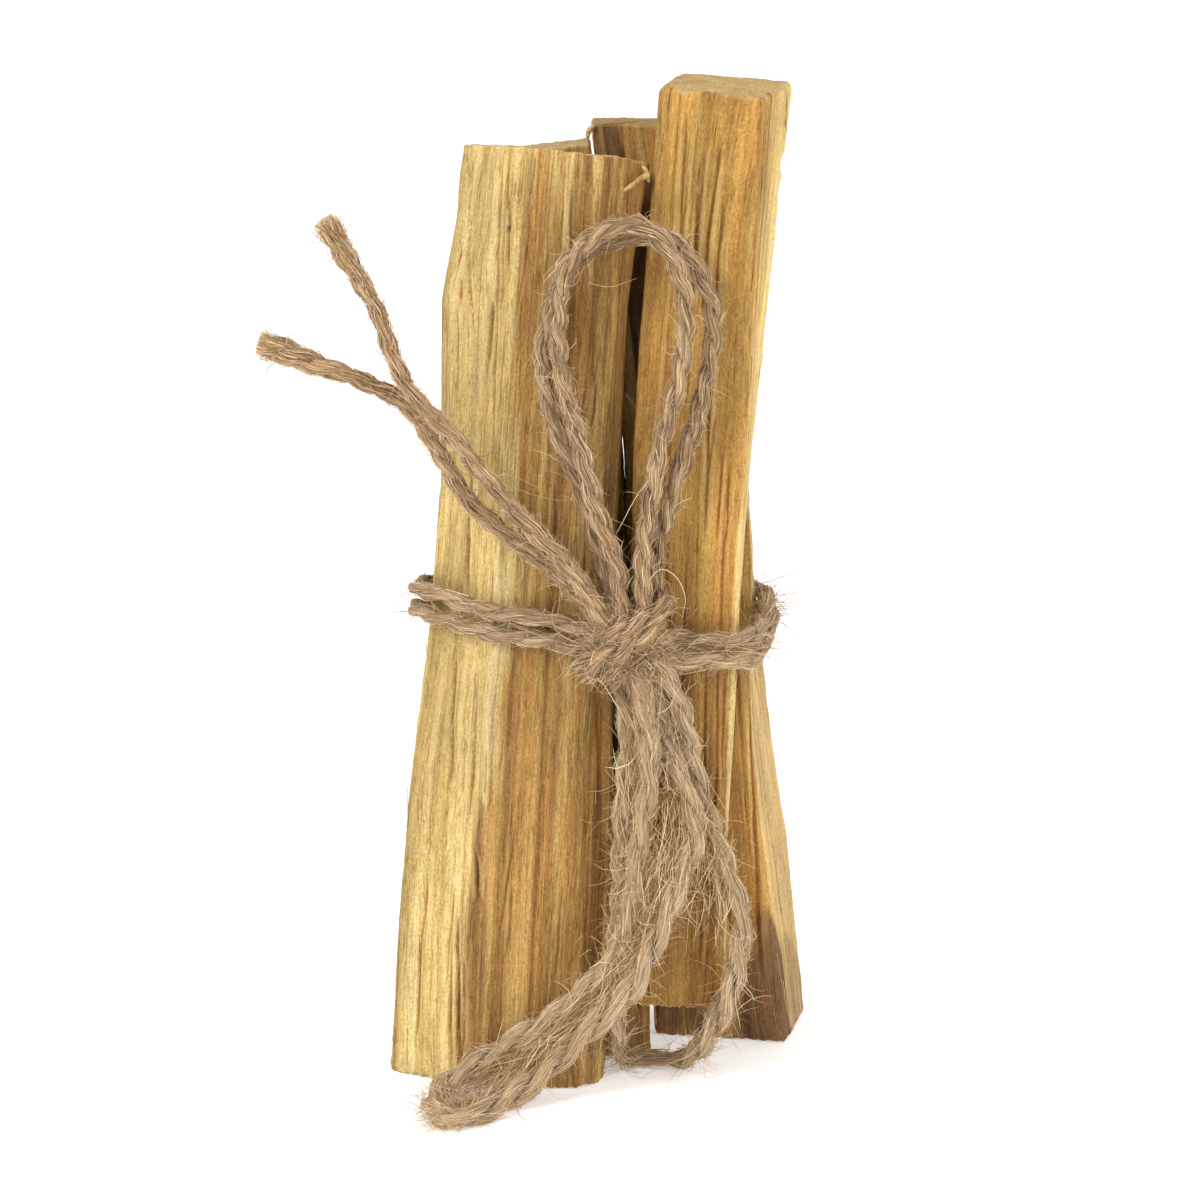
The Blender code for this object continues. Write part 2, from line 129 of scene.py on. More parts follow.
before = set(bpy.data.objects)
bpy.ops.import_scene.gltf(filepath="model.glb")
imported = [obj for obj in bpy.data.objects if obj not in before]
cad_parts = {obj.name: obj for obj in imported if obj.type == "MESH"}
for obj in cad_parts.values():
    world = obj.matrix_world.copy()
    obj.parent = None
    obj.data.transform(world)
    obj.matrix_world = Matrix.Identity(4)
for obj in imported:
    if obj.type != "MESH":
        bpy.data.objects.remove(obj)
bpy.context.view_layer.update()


def place_camera():
    data = bpy.data.cameras.new("camera")
    data.sensor_width = SENSOR_WIDTH
    data.lens = CAMERA_LENS
    data.clip_start = 0.05
    data.clip_end = 10.0
    camera = bpy.data.objects.new("camera", data)
    place = (np.array(CAMERA_PLACE) + BUNDLE_SHIFT) * MM
    aim = (np.array(CAMERA_AIM) + BUNDLE_SHIFT) * MM
    camera.location = place
    camera.rotation_euler = Vector(aim - place).to_track_quat("-Z", "Y").to_euler()
    bpy.context.scene.collection.objects.link(camera)
    bpy.context.scene.camera = camera


place_camera()

# ---------------------------------------------------------------- noise


def scrambled(x, y, z, seed):
    """A number from 0 to 1 for each whole-numbered place."""
    mixed = x.astype(np.int64).astype(np.uint64) * np.uint64(73856093)
    mixed ^= y.astype(np.int64).astype(np.uint64) * np.uint64(19349663)
    mixed ^= z.astype(np.int64).astype(np.uint64) * np.uint64(83492791)
    mixed ^= np.uint64(seed * 2654435761 % 4294967296)
    low = np.uint64(0xFFFFFFFF)
    mixed &= low
    mixed = ((mixed ^ (mixed >> np.uint64(15))) * np.uint64(2246822519)) & low
    mixed = ((mixed ^ (mixed >> np.uint64(13))) * np.uint64(3266489917)) & low
    return (mixed ^ (mixed >> np.uint64(16))).astype(float) / 4294967296.0


def eased(part):
    return part * part * (3.0 - 2.0 * part)


def step_up(low, high, value):
    """0 below low, 1 above high, and eased between them."""
    return eased(np.clip((value - low) / (high - low), 0.0, 1.0))


def noise(x, y, z=0.0, seed=0):
    """Smooth noise from -1 to 1."""
    x, y, z = np.broadcast_arrays(np.asarray(x, float), np.asarray(y, float), np.asarray(z, float))
    x0, y0, z0 = np.floor(x), np.floor(y), np.floor(z)
    wx, wy, wz = eased(x - x0), eased(y - y0), eased(z - z0)
    total = np.zeros(x.shape)
    for dx, share_x in ((0, 1 - wx), (1, wx)):
        for dy, share_y in ((0, 1 - wy), (1, wy)):
            for dz, share_z in ((0, 1 - wz), (1, wz)):
                if dz and not wz.any():
                    continue
                total += share_x * share_y * share_z * scrambled(x0 + dx, y0 + dy, z0 + dz, seed)
    return 2.0 * total - 1.0


def rough_noise(x, y, z=0.0, seed=0, octaves=3, fall=0.5):
    """Octaves of noise, each of twice the detail and a share of the height of the one before."""
    total, height, scale, most = 0.0, 1.0, 1.0, 0.0
    for octave in range(octaves):
        total = total + height * noise(x * scale, y * scale, z * scale, seed + 17 * octave)
        most += height
        height *= fall
        scale *= 2.03
    return total / most


# ---------------------------------------------------------------- mesh helpers


def make_mesh(name, points, face_sets, material, slot, attributes=None):
    """A smooth-shaded mesh object on the bundle's body. Each face set is an array of equal faces."""
    data = bpy.data.meshes.new(name)
    points = ((np.asarray(points, float) + BUNDLE_SHIFT) * MM).astype(np.float32)
    face_sets = [np.asarray(faces, np.int32) for faces in face_sets if len(faces)]
    corners = np.concatenate([faces.ravel() for faces in face_sets])
    sizes = np.concatenate([np.full(len(faces), faces.shape[1]) for faces in face_sets])
    data.vertices.add(len(points))
    data.vertices.foreach_set("co", points.ravel())
    data.loops.add(len(corners))
    data.loops.foreach_set("vertex_index", corners)
    data.polygons.add(len(sizes))
    starts = np.concatenate(([0], np.cumsum(sizes)[:-1])).astype(np.int32)
    data.polygons.foreach_set("loop_start", starts)
    data.update(calc_edges=True)
    data.validate()
    data.shade_smooth()
    for title, values in (attributes or {}).items():
        values = np.asarray(values, np.float32)
        kind, key = ("FLOAT", "value") if values.ndim == 1 else ("FLOAT_VECTOR", "vector")
        data.attributes.new(title, kind, "POINT").data.foreach_set(key, values.ravel())
    data.materials.append(material)
    made = bpy.data.objects.new(name, data)
    bpy.context.scene.collection.objects.link(made)
    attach(made, "root")
    return made


def joined(parts):
    """One array of points and one of faces, from several pairs of them."""
    points, faces = zip(*parts)
    firsts = np.cumsum([0] + [len(own) for own in points[:-1]])
    return np.concatenate(points), np.concatenate([own + first for own, first in zip(faces, firsts)])


def grid_faces(rows, columns, first=0):
    """Quads between the rows of a grid whose columns go round and close."""
    row = np.arange(rows - 1)[:, None] * columns
    column = np.arange(columns)[None, :]
    after = (column + 1) % columns
    quads = (row + column, row + after, row + columns + after, row + columns + column)
    return np.stack(quads, axis=-1).reshape(-1, 4) + first


# ---------------------------------------------------------------- shader helpers


class Shader:
    """A material's node tree, with short ways to add to it."""

    def __init__(self, name):
        self.material = bpy.data.materials.new(name)
        self.material.use_nodes = True
        self.tree = self.material.node_tree
        self.surface = self.tree.nodes["Principled BSDF"]

    def add(self, kind, settings=None, **inputs):
        """A new node. Inputs are named with _ for a space; i0 is the first socket, i1 the next."""
        node = self.tree.nodes.new("ShaderNode" + kind)
        for key, value in (settings or {}).items():
            setattr(node, key, value)
        for key, value in inputs.items():
            socket = node.inputs[int(key[1:])] if key[0] == "i" and key[1:].isdigit() else None
            self.set(socket or node.inputs[key.replace("_", " ")], value)
        return node

    def set(self, socket, value):
        if isinstance(value, bpy.types.NodeSocket):
            self.tree.links.new(value, socket)
        else:
            socket.default_value = value

    def attribute(self, name, output="Fac"):
        return self.add("Attribute", {"attribute_name": name}).outputs[output]

    def math(self, operation, one, two=0.0, three=0.0):
        return self.add("Math", {"operation": operation}, i0=one, i1=two, i2=three).outputs[0]

    def vector_math(self, operation, one, two):
        return self.add("VectorMath", {"operation": operation}, i0=one, i1=two).outputs[0]

    def noise(self, vector, scale, detail=3.0, roughness=0.5, output="Fac"):
        """Noise over a vector that is first scaled along each axis."""
        scaled = self.vector_math("MULTIPLY", vector, scale)
        node = self.add("TexNoise", Vector=scaled, Scale=1.0, Detail=detail, Roughness=roughness)
        return node.outputs[output]

    def weighted(self, first, *others):
        """The sum of pairs of a value and its weight."""
        total = self.math("MULTIPLY", *first)
        for value, weight in others:
            total = self.math("MULTIPLY_ADD", value, weight, total)
        return total

    def swung(self, base, *noises):
        """A value moved up and down by noises about 0.5, each given with its weight."""
        for value, weight in noises:
            base = self.math("MULTIPLY_ADD", self.math("SUBTRACT", value, 0.5), weight, base)
        return base

    def ramp(self, value, stops):
        """A colour ramp, or a grey one where the stops hold single numbers."""
        node = self.add("ValToRGB", Fac=value)
        points = node.color_ramp.elements
        while len(points) < len(stops):
            points.new(0.5)
        for point, (place, colour) in zip(points, stops):
            point.position = place
            shade = (colour,) * 3 if isinstance(colour, (int, float)) else colour
            point.color = (*shade, 1.0)
        return node.outputs["Color"]

    def mix(self, share, one, two, blend="MIX"):
        node = self.add("Mix", {"data_type": "RGBA", "blend_type": blend, "clamp_factor": True})
        self.set(node.inputs[0], share)
        self.set(node.inputs[6], one if not isinstance(one, tuple) else (*one, 1.0))
        self.set(node.inputs[7], two if not isinstance(two, tuple) else (*two, 1.0))
        return node.outputs[2]

    def shaded(self, colour, shade):
        return self.mix(1.0, colour, shade, "MULTIPLY")

    def bump(self, height, strength, distance):
        return self.add("Bump", Height=height, Strength=strength, Distance=distance).outputs[0]

    def finish(self, **inputs):
        """Sets the surface's inputs, named with _ for a space, and returns the material."""
        for name, value in inputs.items():
            self.set(self.surface.inputs[name.replace("_", " ")], value)
        return self.material


RUDDY = (1.04, 0.86, 0.76)
# Darkens the wood's grain lines, and is the painted shade in the hollows of the relief.
LINE_AND_HOLLOW_SHADE = (0.48, 0.31, 0.19)


def broken_lines(shader, vector, across, along, thin, low, high):
    """Thin lines where a stretched noise crosses its middle, kept only in some stretches."""
    value = shader.noise(vector, (across, along, 1.0), detail=2.0)
    off = shader.math("ABSOLUTE", shader.math("SUBTRACT", value, 0.5))
    line = shader.ramp(off, [(0.0, 1.0), (thin, 0.0)])
    kept = shader.noise(vector, (across * 0.5, along * 2.6, 3.0), detail=2.0)
    return shader.math("MULTIPLY", line, shader.ramp(kept, [(low, 0.0), (high, 1.0)]))


def wood_material(name, heart, sap, patch, end, shift, spread, lined):
    """Split wood: streaks, threads and broken dark lines along the grain, and a granular end.

    heart and sap are each three colours from a dark streak to a light one, patch is two for the
    dark patches and for the painted shadow, and end is three for the sawn ends. shift picks another
    stretch of the pattern, spread is how softly the streaks change and lined is how strong the dark
    lines are.

    The mesh gives the distance round the stick and its height as "grain", and the shares of
    sapwood, of dark heart and painted shadow, and the relief as "tone". The relief gives painted
    shade in the hollows and a painted highlight on the ridges. "cut" is 1 on the sawn ends.
    """
    shader = Shader(name)
    grain = shader.attribute("grain", "Vector")
    tone = shader.add("SeparateXYZ", i0=shader.attribute("tone", "Vector")).outputs
    cut = shader.attribute("cut")
    sway = shader.noise(grain, (0.16, 0.022, 1.0), output="Color")
    moved = shader.vector_math("ADD", grain, shader.vector_math("MULTIPLY", sway, (1.3, 0.0, 0.0)))
    moved = shader.vector_math("ADD", moved, (shift, shift * 3.1, 0.0))
    broad = shader.noise(moved, (0.42, 0.011, 1.0))
    middle = shader.noise(moved, (1.15, 0.024, 1.0), roughness=0.55)
    fine = shader.noise(moved, (3.6, 0.085, 1.0), roughness=0.6)
    thread = shader.noise(moved, (9.0, 0.55, 1.0), roughness=0.7)
    grit = shader.noise(moved, (5.4, 2.7, 1.0), detail=4.0, roughness=0.85)
    cloud = shader.noise(moved, (0.24, 0.050, 7.0), detail=4.0, roughness=0.65)
    warmth = shader.noise(moved, (0.50, 0.022, 4.0))

    streak = shader.weighted((broad, 0.36), (middle, 0.30), (fine, 0.18), (thread, 0.16))
    stops = (0.5 - spread, 0.50, 0.5 + spread)
    heart_colour = shader.ramp(streak, list(zip(stops, heart)))
    sap_colour = shader.ramp(streak, list(zip(stops, sap)))
    red = shader.ramp(warmth, [(0.40, 0.0), (0.62, 0.75)])
    heart_colour = shader.mix(red, heart_colour, shader.shaded(heart_colour, RUDDY))
    share = shader.ramp(shader.swung(tone[0], (middle, 1.0), (fine, 0.55)), [(0.30, 0.0), (0.70, 1.0)])
    colour = shader.mix(share, heart_colour, sap_colour)
    # Dark patches: real stains, and the painted shadow of the slit between the front sticks.
    stain_and_shadow = shader.ramp(shader.swung(tone[1], (middle, 1.3), (fine, 0.9)), [(0.22, 0.0), (0.80, 1.0)])
    colour = shader.mix(stain_and_shadow, colour, shader.ramp(streak, list(zip((0.44, 0.56), patch))))

    long_lines = broken_lines(shader, moved, 0.75, 0.024, 0.017, 0.50, 0.60)
    short_lines = broken_lines(shader, moved, 2.3, 0.16, 0.030, 0.50, 0.58)
    lines = shader.math("MAXIMUM", long_lines, shader.math("MULTIPLY", short_lines, 0.80))
    dark_line = shader.shaded(colour, LINE_AND_HOLLOW_SHADE)
    colour = shader.mix(shader.math("MULTIPLY", lines, lined), colour, dark_line)
    for value, dark, light in ((grit, 0.66, 1.32), (cloud, 0.76, 1.19), (thread, 0.88, 1.09)):
        colour = shader.shaded(colour, shader.ramp(value, [(0.34, dark), (0.66, light)]))
    # Painted shade in the hollows of the relief, and a painted highlight on its ridges.
    relief = shader.math("MULTIPLY_ADD", tone[2], 0.5, 0.5)
    hollow_shade = shader.ramp(relief, [(0.04, 0.62), (0.34, 0.0)])
    colour = shader.mix(hollow_shade, colour, shader.shaded(colour, LINE_AND_HOLLOW_SHADE))
    colour = shader.mix(shader.ramp(relief, [(0.58, 0.0), (0.96, 0.20)]), colour, sap[2])

    place = shader.attribute("place", "Vector")
    grains = shader.noise(place, (4.6, 4.6, 4.6), detail=5.0, roughness=0.8)
    blotch = shader.ramp(shader.noise(place, (0.5, 0.5, 0.5)), [(0.42, 0.0), (0.70, 0.45)])
    end_colour = shader.ramp(grains, list(zip((0.36, 0.50, 0.62), end)))
    end_colour = shader.mix(blotch, end_colour, heart_colour)
    end_stain = shader.ramp(tone[1], [(0.25, 0.0), (0.80, 0.75)])
    end_colour = shader.mix(end_stain, end_colour, patch[1])
    colour = shader.mix(cut, colour, end_colour)

    rise = shader.weighted((fine, 0.30), (thread, 0.34), (middle, 0.22), (lines, -0.40), (grit, 0.34))
    normal = shader.add("Mix", {"data_type": "VECTOR"})
    shader.set(normal.inputs[0], cut)
    shader.set(normal.inputs[4], shader.bump(rise, 0.7, 0.00024))
    shader.set(normal.inputs[5], shader.bump(grains, 0.85, 0.00030))
    normal = normal.outputs[1]
    return shader.finish(Normal=normal, Base_Color=colour, Roughness=0.74, Specular_IOR_Level=0.22)


TWINE_TONES = (
    (0.060, 0.028, 0.012),
    (0.262, 0.144, 0.063),
    (0.485, 0.300, 0.145),
    (0.870, 0.645, 0.388),
)
FUZZ_TONES = (
    (0.165, 0.085, 0.038),
    (0.425, 0.256, 0.120),
    (0.690, 0.472, 0.250),
    (0.900, 0.710, 0.440),
)
PALE_TONES = ((0.400, 0.262, 0.140), (0.820, 0.640, 0.420))
# Painted shade in the crease between the twine's plies.
CREASE_SHADE = (0.060, 0.034, 0.016)


def twine_material():
    """Jute: pale and dark fibres along the lay, worn pale in places, with painted shade in its creases."""
    shader = Shader("jute_twine")
    strand = shader.attribute("strand", "Vector")
    lines = shader.noise(strand, (1.9, 1.9, 0.16), detail=4.0, roughness=0.7)
    broad = shader.noise(strand, (0.8, 0.8, 0.10), detail=2.0)
    hairs = shader.noise(strand, (5.5, 5.5, 0.34), roughness=0.7)
    total = shader.weighted((lines, 0.42), (hairs, 0.45), (broad, 0.13))
    colour = shader.ramp(total, list(zip((0.40, 0.465, 0.53, 0.60), TWINE_TONES)))
    worn = shader.ramp(hairs, list(zip((0.36, 0.62), PALE_TONES)))
    colour = shader.mix(shader.attribute("pale"), colour, worn)
    # Painted shade on the side of each ply that faces the other.
    colour = shader.mix(shader.math("MULTIPLY", shader.attribute("gap"), 0.85), colour, CREASE_SHADE)
    rise = shader.math("MULTIPLY_ADD", hairs, 0.6, lines)
    return shader.finish(
        Normal=shader.bump(rise, 1.0, 0.00050),
        Base_Color=colour,
        Roughness=0.66,
        Specular_IOR_Level=0.28,
        Sheen_Weight=0.10,
        Sheen_Roughness=0.5,
    )


def fuzz_material():
    """Loose jute fibres, each of its own tone."""
    shader = Shader("jute_fuzz")
    colour = shader.ramp(shader.attribute("tint"), list(zip((0.0, 0.35, 0.70, 1.0), FUZZ_TONES)))
    return shader.finish(Base_Color=colour, Roughness=0.5, Specular_IOR_Level=0.35)


# ---------------------------------------------------------------- sticks


def cad_shape(node):
    """The CAD node's surface in millimetres, as a search tree, with its corners and faces."""
    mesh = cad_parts[node].data
    corners = np.array([v.co for v in mesh.vertices], float) / MM - BUNDLE_SHIFT
    faces = [tuple(p.vertices) for p in mesh.polygons]
    tree = BVHTree.FromPolygons([Vector(c) for c in corners], faces)
    return tree, corners, faces


def end_plane(corners, faces, up):
    """The middle of the end face that looks up (1) or down (-1), and its slopes along X and Y."""
    total, middle, normal = 0.0, np.zeros(3), np.zeros(3)
    for face in faces:
        one, two, three = corners[list(face[:3])]
        across = np.cross(two - one, three - one) / 2.0
        area = np.linalg.norm(across)
        if area > 1e-9 and across[2] * up > 0.8 * area:
            total += area
            middle += area * (one + two + three) / 3.0
            normal += across
    return middle / total, np.array((-normal[0] / normal[2], -normal[1] / normal[2]))


def cast_ring(tree, centre, angles, slope):
    """Where rays from the centre meet the surface, in a plane with those slopes."""
    ring = np.empty((len(angles), 3))
    start = Vector(centre)
    for index, angle in enumerate(angles):
        x, y = np.cos(angle), np.sin(angle)
        hit = tree.ray_cast(start, Vector((x, y, slope[0] * x + slope[1] * y)))[0]
        ring[index] = hit if hit is not None else centre
    return ring


def ring_middle(ring):
    """The middle of a ring's area, seen from above."""
    x, y = ring[:, 0], ring[:, 1]
    nx, ny = np.roll(x, -1), np.roll(y, -1)
    cross = x * ny - nx * y
    return np.array((((x + nx) * cross).sum(), ((y + ny) * cross).sum())) / (3.0 * cross.sum())


# Rows nearer an end than this take the outline from a little inside the CAD's worn edge.
CAST_INSIDE = 0.45
# How far from an end the rows that are nearest to it lie.
NEAR_END = np.array((0.02, 0.07, 0.14, 0.22, 0.32, 0.45, 0.62, 0.85, 1.15))


def sample_stick(node, seam, columns, rows, dense):
    """A grid of points on the stick's sides, from foot to top, anticlockwise from the seam.

    Returns the points, each column's distance round the stick, the middles of the rows, and how
    far each row is from the foot and from the top.
    """
    tree, corners, faces = cad_shape(node)
    foot, foot_slope = end_plane(corners, faces, -1)
    top, top_slope = end_plane(corners, faces, 1)
    rough = np.linspace(0, TAU, 72, endpoint=False)
    guess = (corners.min(0) + corners.max(0)) / 2.0
    heights = np.linspace(foot[2] + 3.0, top[2] - 4.0, 16)
    middles = []
    for height in heights:
        ring = cast_ring(tree, (guess[0], guess[1], height), rough, (0.0, 0.0))
        middles.append(ring_middle(ring))
    line_x = np.polyfit(heights, [m[0] for m in middles], 3)
    line_y = np.polyfit(heights, [m[1] for m in middles], 3)

    def middle_at(height):
        return np.array((np.polyval(line_x, height), np.polyval(line_y, height)))

    half_way = (foot[2] + top[2]) / 2.0
    fine = np.radians(seam) + np.linspace(0, TAU, 3600, endpoint=False)
    ring = cast_ring(tree, (*middle_at(half_way), half_way), fine, (0.0, 0.0))
    sides = np.linalg.norm(np.roll(ring, -1, axis=0) - ring, axis=1)
    run = np.concatenate(([0.0], np.cumsum(sides)))
    dense_from, dense_to, share = dense
    before = (1.0 - share) * dense_from / (run[-1] - dense_to + dense_from)
    turn = np.arange(columns) / columns
    spots = (0.0, before, before + share, 1.0)
    around = np.interp(turn, spots, (0.0, dense_from, dense_to, run[-1]))
    angles = np.interp(around, run[:-1], fine)

    long_way = top[2] - foot[2]
    between = np.linspace(1.55, long_way - 1.55, rows - 2 * len(NEAR_END))
    along = np.concatenate((NEAR_END, between, long_way - NEAR_END[::-1]))
    points = np.empty((rows, columns, 3))
    spine = np.empty((rows, 3))
    for row, rise in enumerate(along):
        inside = np.clip(rise, CAST_INSIDE, long_way - CAST_INSIDE)
        height = foot[2] + inside
        share = step_up(0.82, 1.0, rise / long_way)
        start = 1.0 - step_up(0.0, 0.10, rise / long_way)
        centre = middle_at(height)
        lean = share * (top_slope @ (centre - top[:2])) + start * (foot_slope @ (centre - foot[:2]))
        spine[row] = (*centre, height + lean)
        points[row] = cast_ring(tree, spine[row], angles, top_slope * share + foot_slope * start)
        points[row, :, 2] += rise - inside
        spine[row, 2] += rise - inside
    return points, around, spine, along, long_way - along


def outward(points):
    """Unit normals of a closed grid, eased over the corners."""
    across = np.roll(points, -2, axis=1) - np.roll(points, 2, axis=1)
    up = np.gradient(points, axis=0)
    up[..., :2] *= 0.5
    normals = np.cross(across, up)
    return normals / np.maximum(np.linalg.norm(normals, axis=-1, keepdims=True), 1e-9)


def slats(u, z, width, length, seed):
    """Split fibres as raised strips of uneven width, at their own heights, torn off here and there."""
    swayed = u / width + 0.55 * noise(u / (3.0 * width), z / (1.6 * length), seed=seed)
    strip = np.floor(swayed)

    def level(which):
        own = 9.1 * scrambled(which, which * 0.0, which * 0.0, seed + 2)
        value = noise(which * 3.7, z / length + own, seed=seed + 1)
        return np.sign(value) * np.abs(value) ** 0.55

    return level(strip) + (level(strip + 1) - level(strip)) * step_up(0.70, 1.0, swayed - strip)


def creases(u, z, width, length, thin, seed):
    """Broken narrow grooves along the grain, from 0 to 1."""
    value = noise(u / width, z / length, seed=seed)
    kept = step_up(0.0, 0.45, noise(u / (0.8 * width), z / (0.55 * length), seed=seed + 1))
    return np.exp(-((value / thin) ** 2)) * kept


def chance_cracks(random, count, round_stick, z_high):
    """Fine cracks at chance places, as rows like a plan's."""
    found = []
    for _ in range(count):
        u_low, z_low = random.uniform(0.0, round_stick), random.uniform(2.0, z_high)
        length = random.uniform(3.0, 16.0)
        u_high = u_low + random.normal() * 0.025 * length
        width, deep = random.uniform(0.07, 0.13), random.uniform(0.10, 0.34)
        found.append((u_low, z_low, u_high, z_low + length, width, deep))
    return found


def over_neighbours(values, reach):
    """Each value's mean with its neighbours round the stick."""
    total = sum(np.roll(values, step, axis=1) for step in range(-reach, reach + 1))
    return total / (2 * reach + 1)


def wedge(u, z, outline, soft):
    """A patch between two edges that change with height: rows of (z, low edge, high edge)."""
    heights, low, high = zip(*outline)
    low_edge = np.interp(z, heights, low) + 0.35 * noise(z / 2.2, 3.0, seed=41)
    high_edge = np.interp(z, heights, high) + 0.35 * noise(z / 2.0, 8.0, seed=42)
    inside = step_up(-soft, soft, u - low_edge) * step_up(-soft, soft, high_edge - u)
    return inside * (1.0 - step_up(heights[-1] - 4.0, heights[-1], z))


def line_mark(u, z, mark):
    """How much each point lies in a mark along the grain, from 0 to 1, fading to its ends."""
    u_low, z_low, u_high, z_high, width = mark
    along = np.clip((z - z_low) / (z_high - z_low), 0.0, 1.0)
    centre = u_low + (u_high - u_low) * along + 0.16 * noise(z / 3.1, u_low * 7.0, seed=5)
    fade = np.sqrt(np.clip(np.sin(np.pi * (z - z_low) / (z_high - z_low)), 0.0, 1.0))
    fade = fade * (z > z_low) * (z < z_high)
    return np.exp(-(((u - centre) / width) ** 2)) * fade


def raised_mark(u, z, mark):
    """A flat-topped strip along the grain, torn off at its lower end."""
    u_low, z_low, u_high, z_high, width = mark
    along = np.clip((z - z_low) / (z_high - z_low), 0.0, 1.0)
    centre = u_low + (u_high - u_low) * along + 0.12 * noise(z / 4.0, u_low * 5.0, seed=9)
    torn = z_low + 1.2 * noise(u / 0.25, u_low, seed=3)
    flat = 1.0 - step_up(0.75, 1.1, np.abs(u - centre) / width)
    return flat * step_up(0.0, 0.5, z - torn) * (1.0 - step_up(-6.0, 0.0, z - z_high))


def blob(u, z, mark):
    """A soft-edged patch: its middle, its half width round the stick and its half height."""
    u_middle, z_middle, half_u, half_z = mark
    return np.exp(-(((u - u_middle) / half_u) ** 2 + ((z - z_middle) / half_z) ** 2))


# How far a stick's sides stand out from the CAD's faces on the whole.
SURFACE_RISE = 0.07
# Where a stick's sapwood gets painted light about the tie, and how far that reaches up and down.
WAIST_HEIGHT = 52.0
WAIST_REACH = 24.0
# Raised strips of fibre on the sides: their share of the relief, their width, their length and
# what is added to the stick's seed for them.
SLAT_LAYERS = ((0.46, 2.3, 70.0, 0), (0.36, 1.0, 40.0, 40), (0.18, 0.45, 22.0, 80))
# Rings of a sawn end, each as a share of the end's own outline.
END_RINGS = np.array((0.965, 0.92, 0.86, 0.79, 0.71, 0.62, 0.52, 0.42, 0.32, 0.22, 0.12))


def side_height(plan, u, z, round_stick, normals, random):
    """How far each point of a stick's sides stands out from the CAD's faces, before its ends wear."""
    seed = plan["seed"]
    rough = plan["roughness"](u, z) if callable(plan["roughness"]) else plan["roughness"]
    relief = sum(part * slats(u, z, wide, long, seed + more) for part, wide, long, more in SLAT_LAYERS)
    threads = rough_noise(u / 0.26, z / 9.0, seed=seed + 120, octaves=2)
    splits = creases(u, z, 3.2, 60.0, 0.08, seed + 130)
    splits = splits + 0.7 * creases(u, z, 1.5, 32.0, 0.11, seed + 140)
    height = plan["depth"] * rough * relief + 0.022 * threads - 0.16 * rough * splits + SURFACE_RISE
    height = height + 0.22 * rough_noise(u / 7.0, z / 30.0, seed=seed + 7, octaves=2)
    height = height + 0.014 * noise(u / 0.16, z / 0.9, seed=seed + 9)
    cracks = plan["cracks"] + chance_cracks(random, plan["chance"], round_stick, z.max() - 6.0)
    for *mark, deep in cracks:
        height = height - deep * line_mark(u, z, mark)
    for *mark, proud in plan["strips"]:
        height = height + proud * raised_mark(u, z, mark)
    bend = np.linalg.norm(np.roll(normals, -2, axis=1) - np.roll(normals, 2, axis=1), axis=-1)
    chips = 0.5 + 0.5 * noise(z / 1.7, u / 4.0, seed=seed + 151)
    chips = chips + 0.5 * noise(z / 0.7, u / 3.0, seed=seed + 153)
    height = height - 0.14 * step_up(0.25, 0.85, bend) * chips
    for *mark, proud in plan.get("swells", []):
        height = height + proud * blob(u, z, mark)
    return height


def worn_ends(plan, points, normals, u, height, from_foot, from_top):
    """The sides' points with their height, rounded over and ragged at both ends."""
    seed = plan["seed"]
    for distance, wear in ((from_top, plan["wear"]), (from_foot, plan["wear_foot"])):
        worn = wear * (1.0 + 0.40 * noise(u / 2.6, u * 0.0, seed=seed + 31))
        near = np.clip(1.0 - distance[:, None] / worn, 0.0, 1.0)
        height = height - worn * (1.0 - np.sqrt(1.0 - near**2)) * 0.9
    points = points + normals * height[..., None]
    ragged_top = plan["ragged"] * rough_noise(u / 0.55, u * 0.0 + 3.0, seed=seed + 51)
    ragged_foot = plan["ragged_foot"] * rough_noise(u / 0.7, u * 0.0 + 8.0, seed=seed + 61)
    points[..., 2] += ragged_top * (1.0 - step_up(0.0, 2.2, from_top))[:, None]
    points[..., 2] += np.abs(ragged_foot) * (1.0 - step_up(0.0, 2.2, from_foot))[:, None]
    return points


def sawn_end(plan, edge, spine, up):
    """The rings and the tip that close an end: flat, with saw marks, grit and a slight dome."""
    seed = plan["seed"]
    middle = np.array((*spine[:2], edge[:, 2].mean()))
    ring = edge[None] + (middle - edge)[None] * (1.0 - END_RINGS[:, None, None])
    x, y, even = np.moveaxis(ring, -1, 0)
    fitted = np.linalg.lstsq(np.column_stack((edge[:, :2], np.ones(len(edge)))), edge[:, 2], rcond=None)[0]
    flat = fitted[0] * x + fitted[1] * y + fitted[2]
    saw = 0.05 * noise(y / 0.9 + 0.2 * x, x * 0.0, seed=seed + 71)
    grit = 0.10 * rough_noise(x / 0.35, y / 0.35, seed=seed + 73, fall=0.7)
    rolled = plan["dome"] * (1.0 - END_RINGS[:, None] ** 2)
    settle = step_up(0.0, 0.3, 1.0 - END_RINGS)[:, None]
    ring[..., 2] = even * (1 - settle) + (flat + up * (rolled + saw + grit)) * settle
    return ring, np.array((*spine[:2], ring[-1, :, 2].mean()))


def closed_by_ends(points, ends):
    """All the points of a stick, and its quads and triangles, from its sides and its two ends."""
    rows, columns = points.shape[:2]
    side_count, cap_count = rows * columns, len(END_RINGS) * columns
    all_points, quads, triangles = [points.reshape(-1, 3)], [grid_faces(rows, columns)], []
    column = np.arange(columns)
    after = (column + 1) % columns
    for number, (ring, tip) in enumerate(ends):
        first = side_count + number * (cap_count + 1)
        all_points += [ring.reshape(-1, 3), tip[None]]
        edge = 0 if number == 0 else side_count - columns
        inner = grid_faces(len(END_RINGS), columns, first)
        joint = np.stack((edge + column, edge + after, first + after, first + column), axis=-1)
        last = first + cap_count - columns
        fan = np.stack((last + column, last + after, np.full(columns, first + cap_count)), axis=-1)
        if number == 0:
            inner, joint, fan = inner[:, ::-1], joint[:, ::-1], fan[:, ::-1]
        quads += [joint, inner]
        triangles.append(fan)
    return np.concatenate(all_points), [np.concatenate(quads), np.concatenate(triangles)]


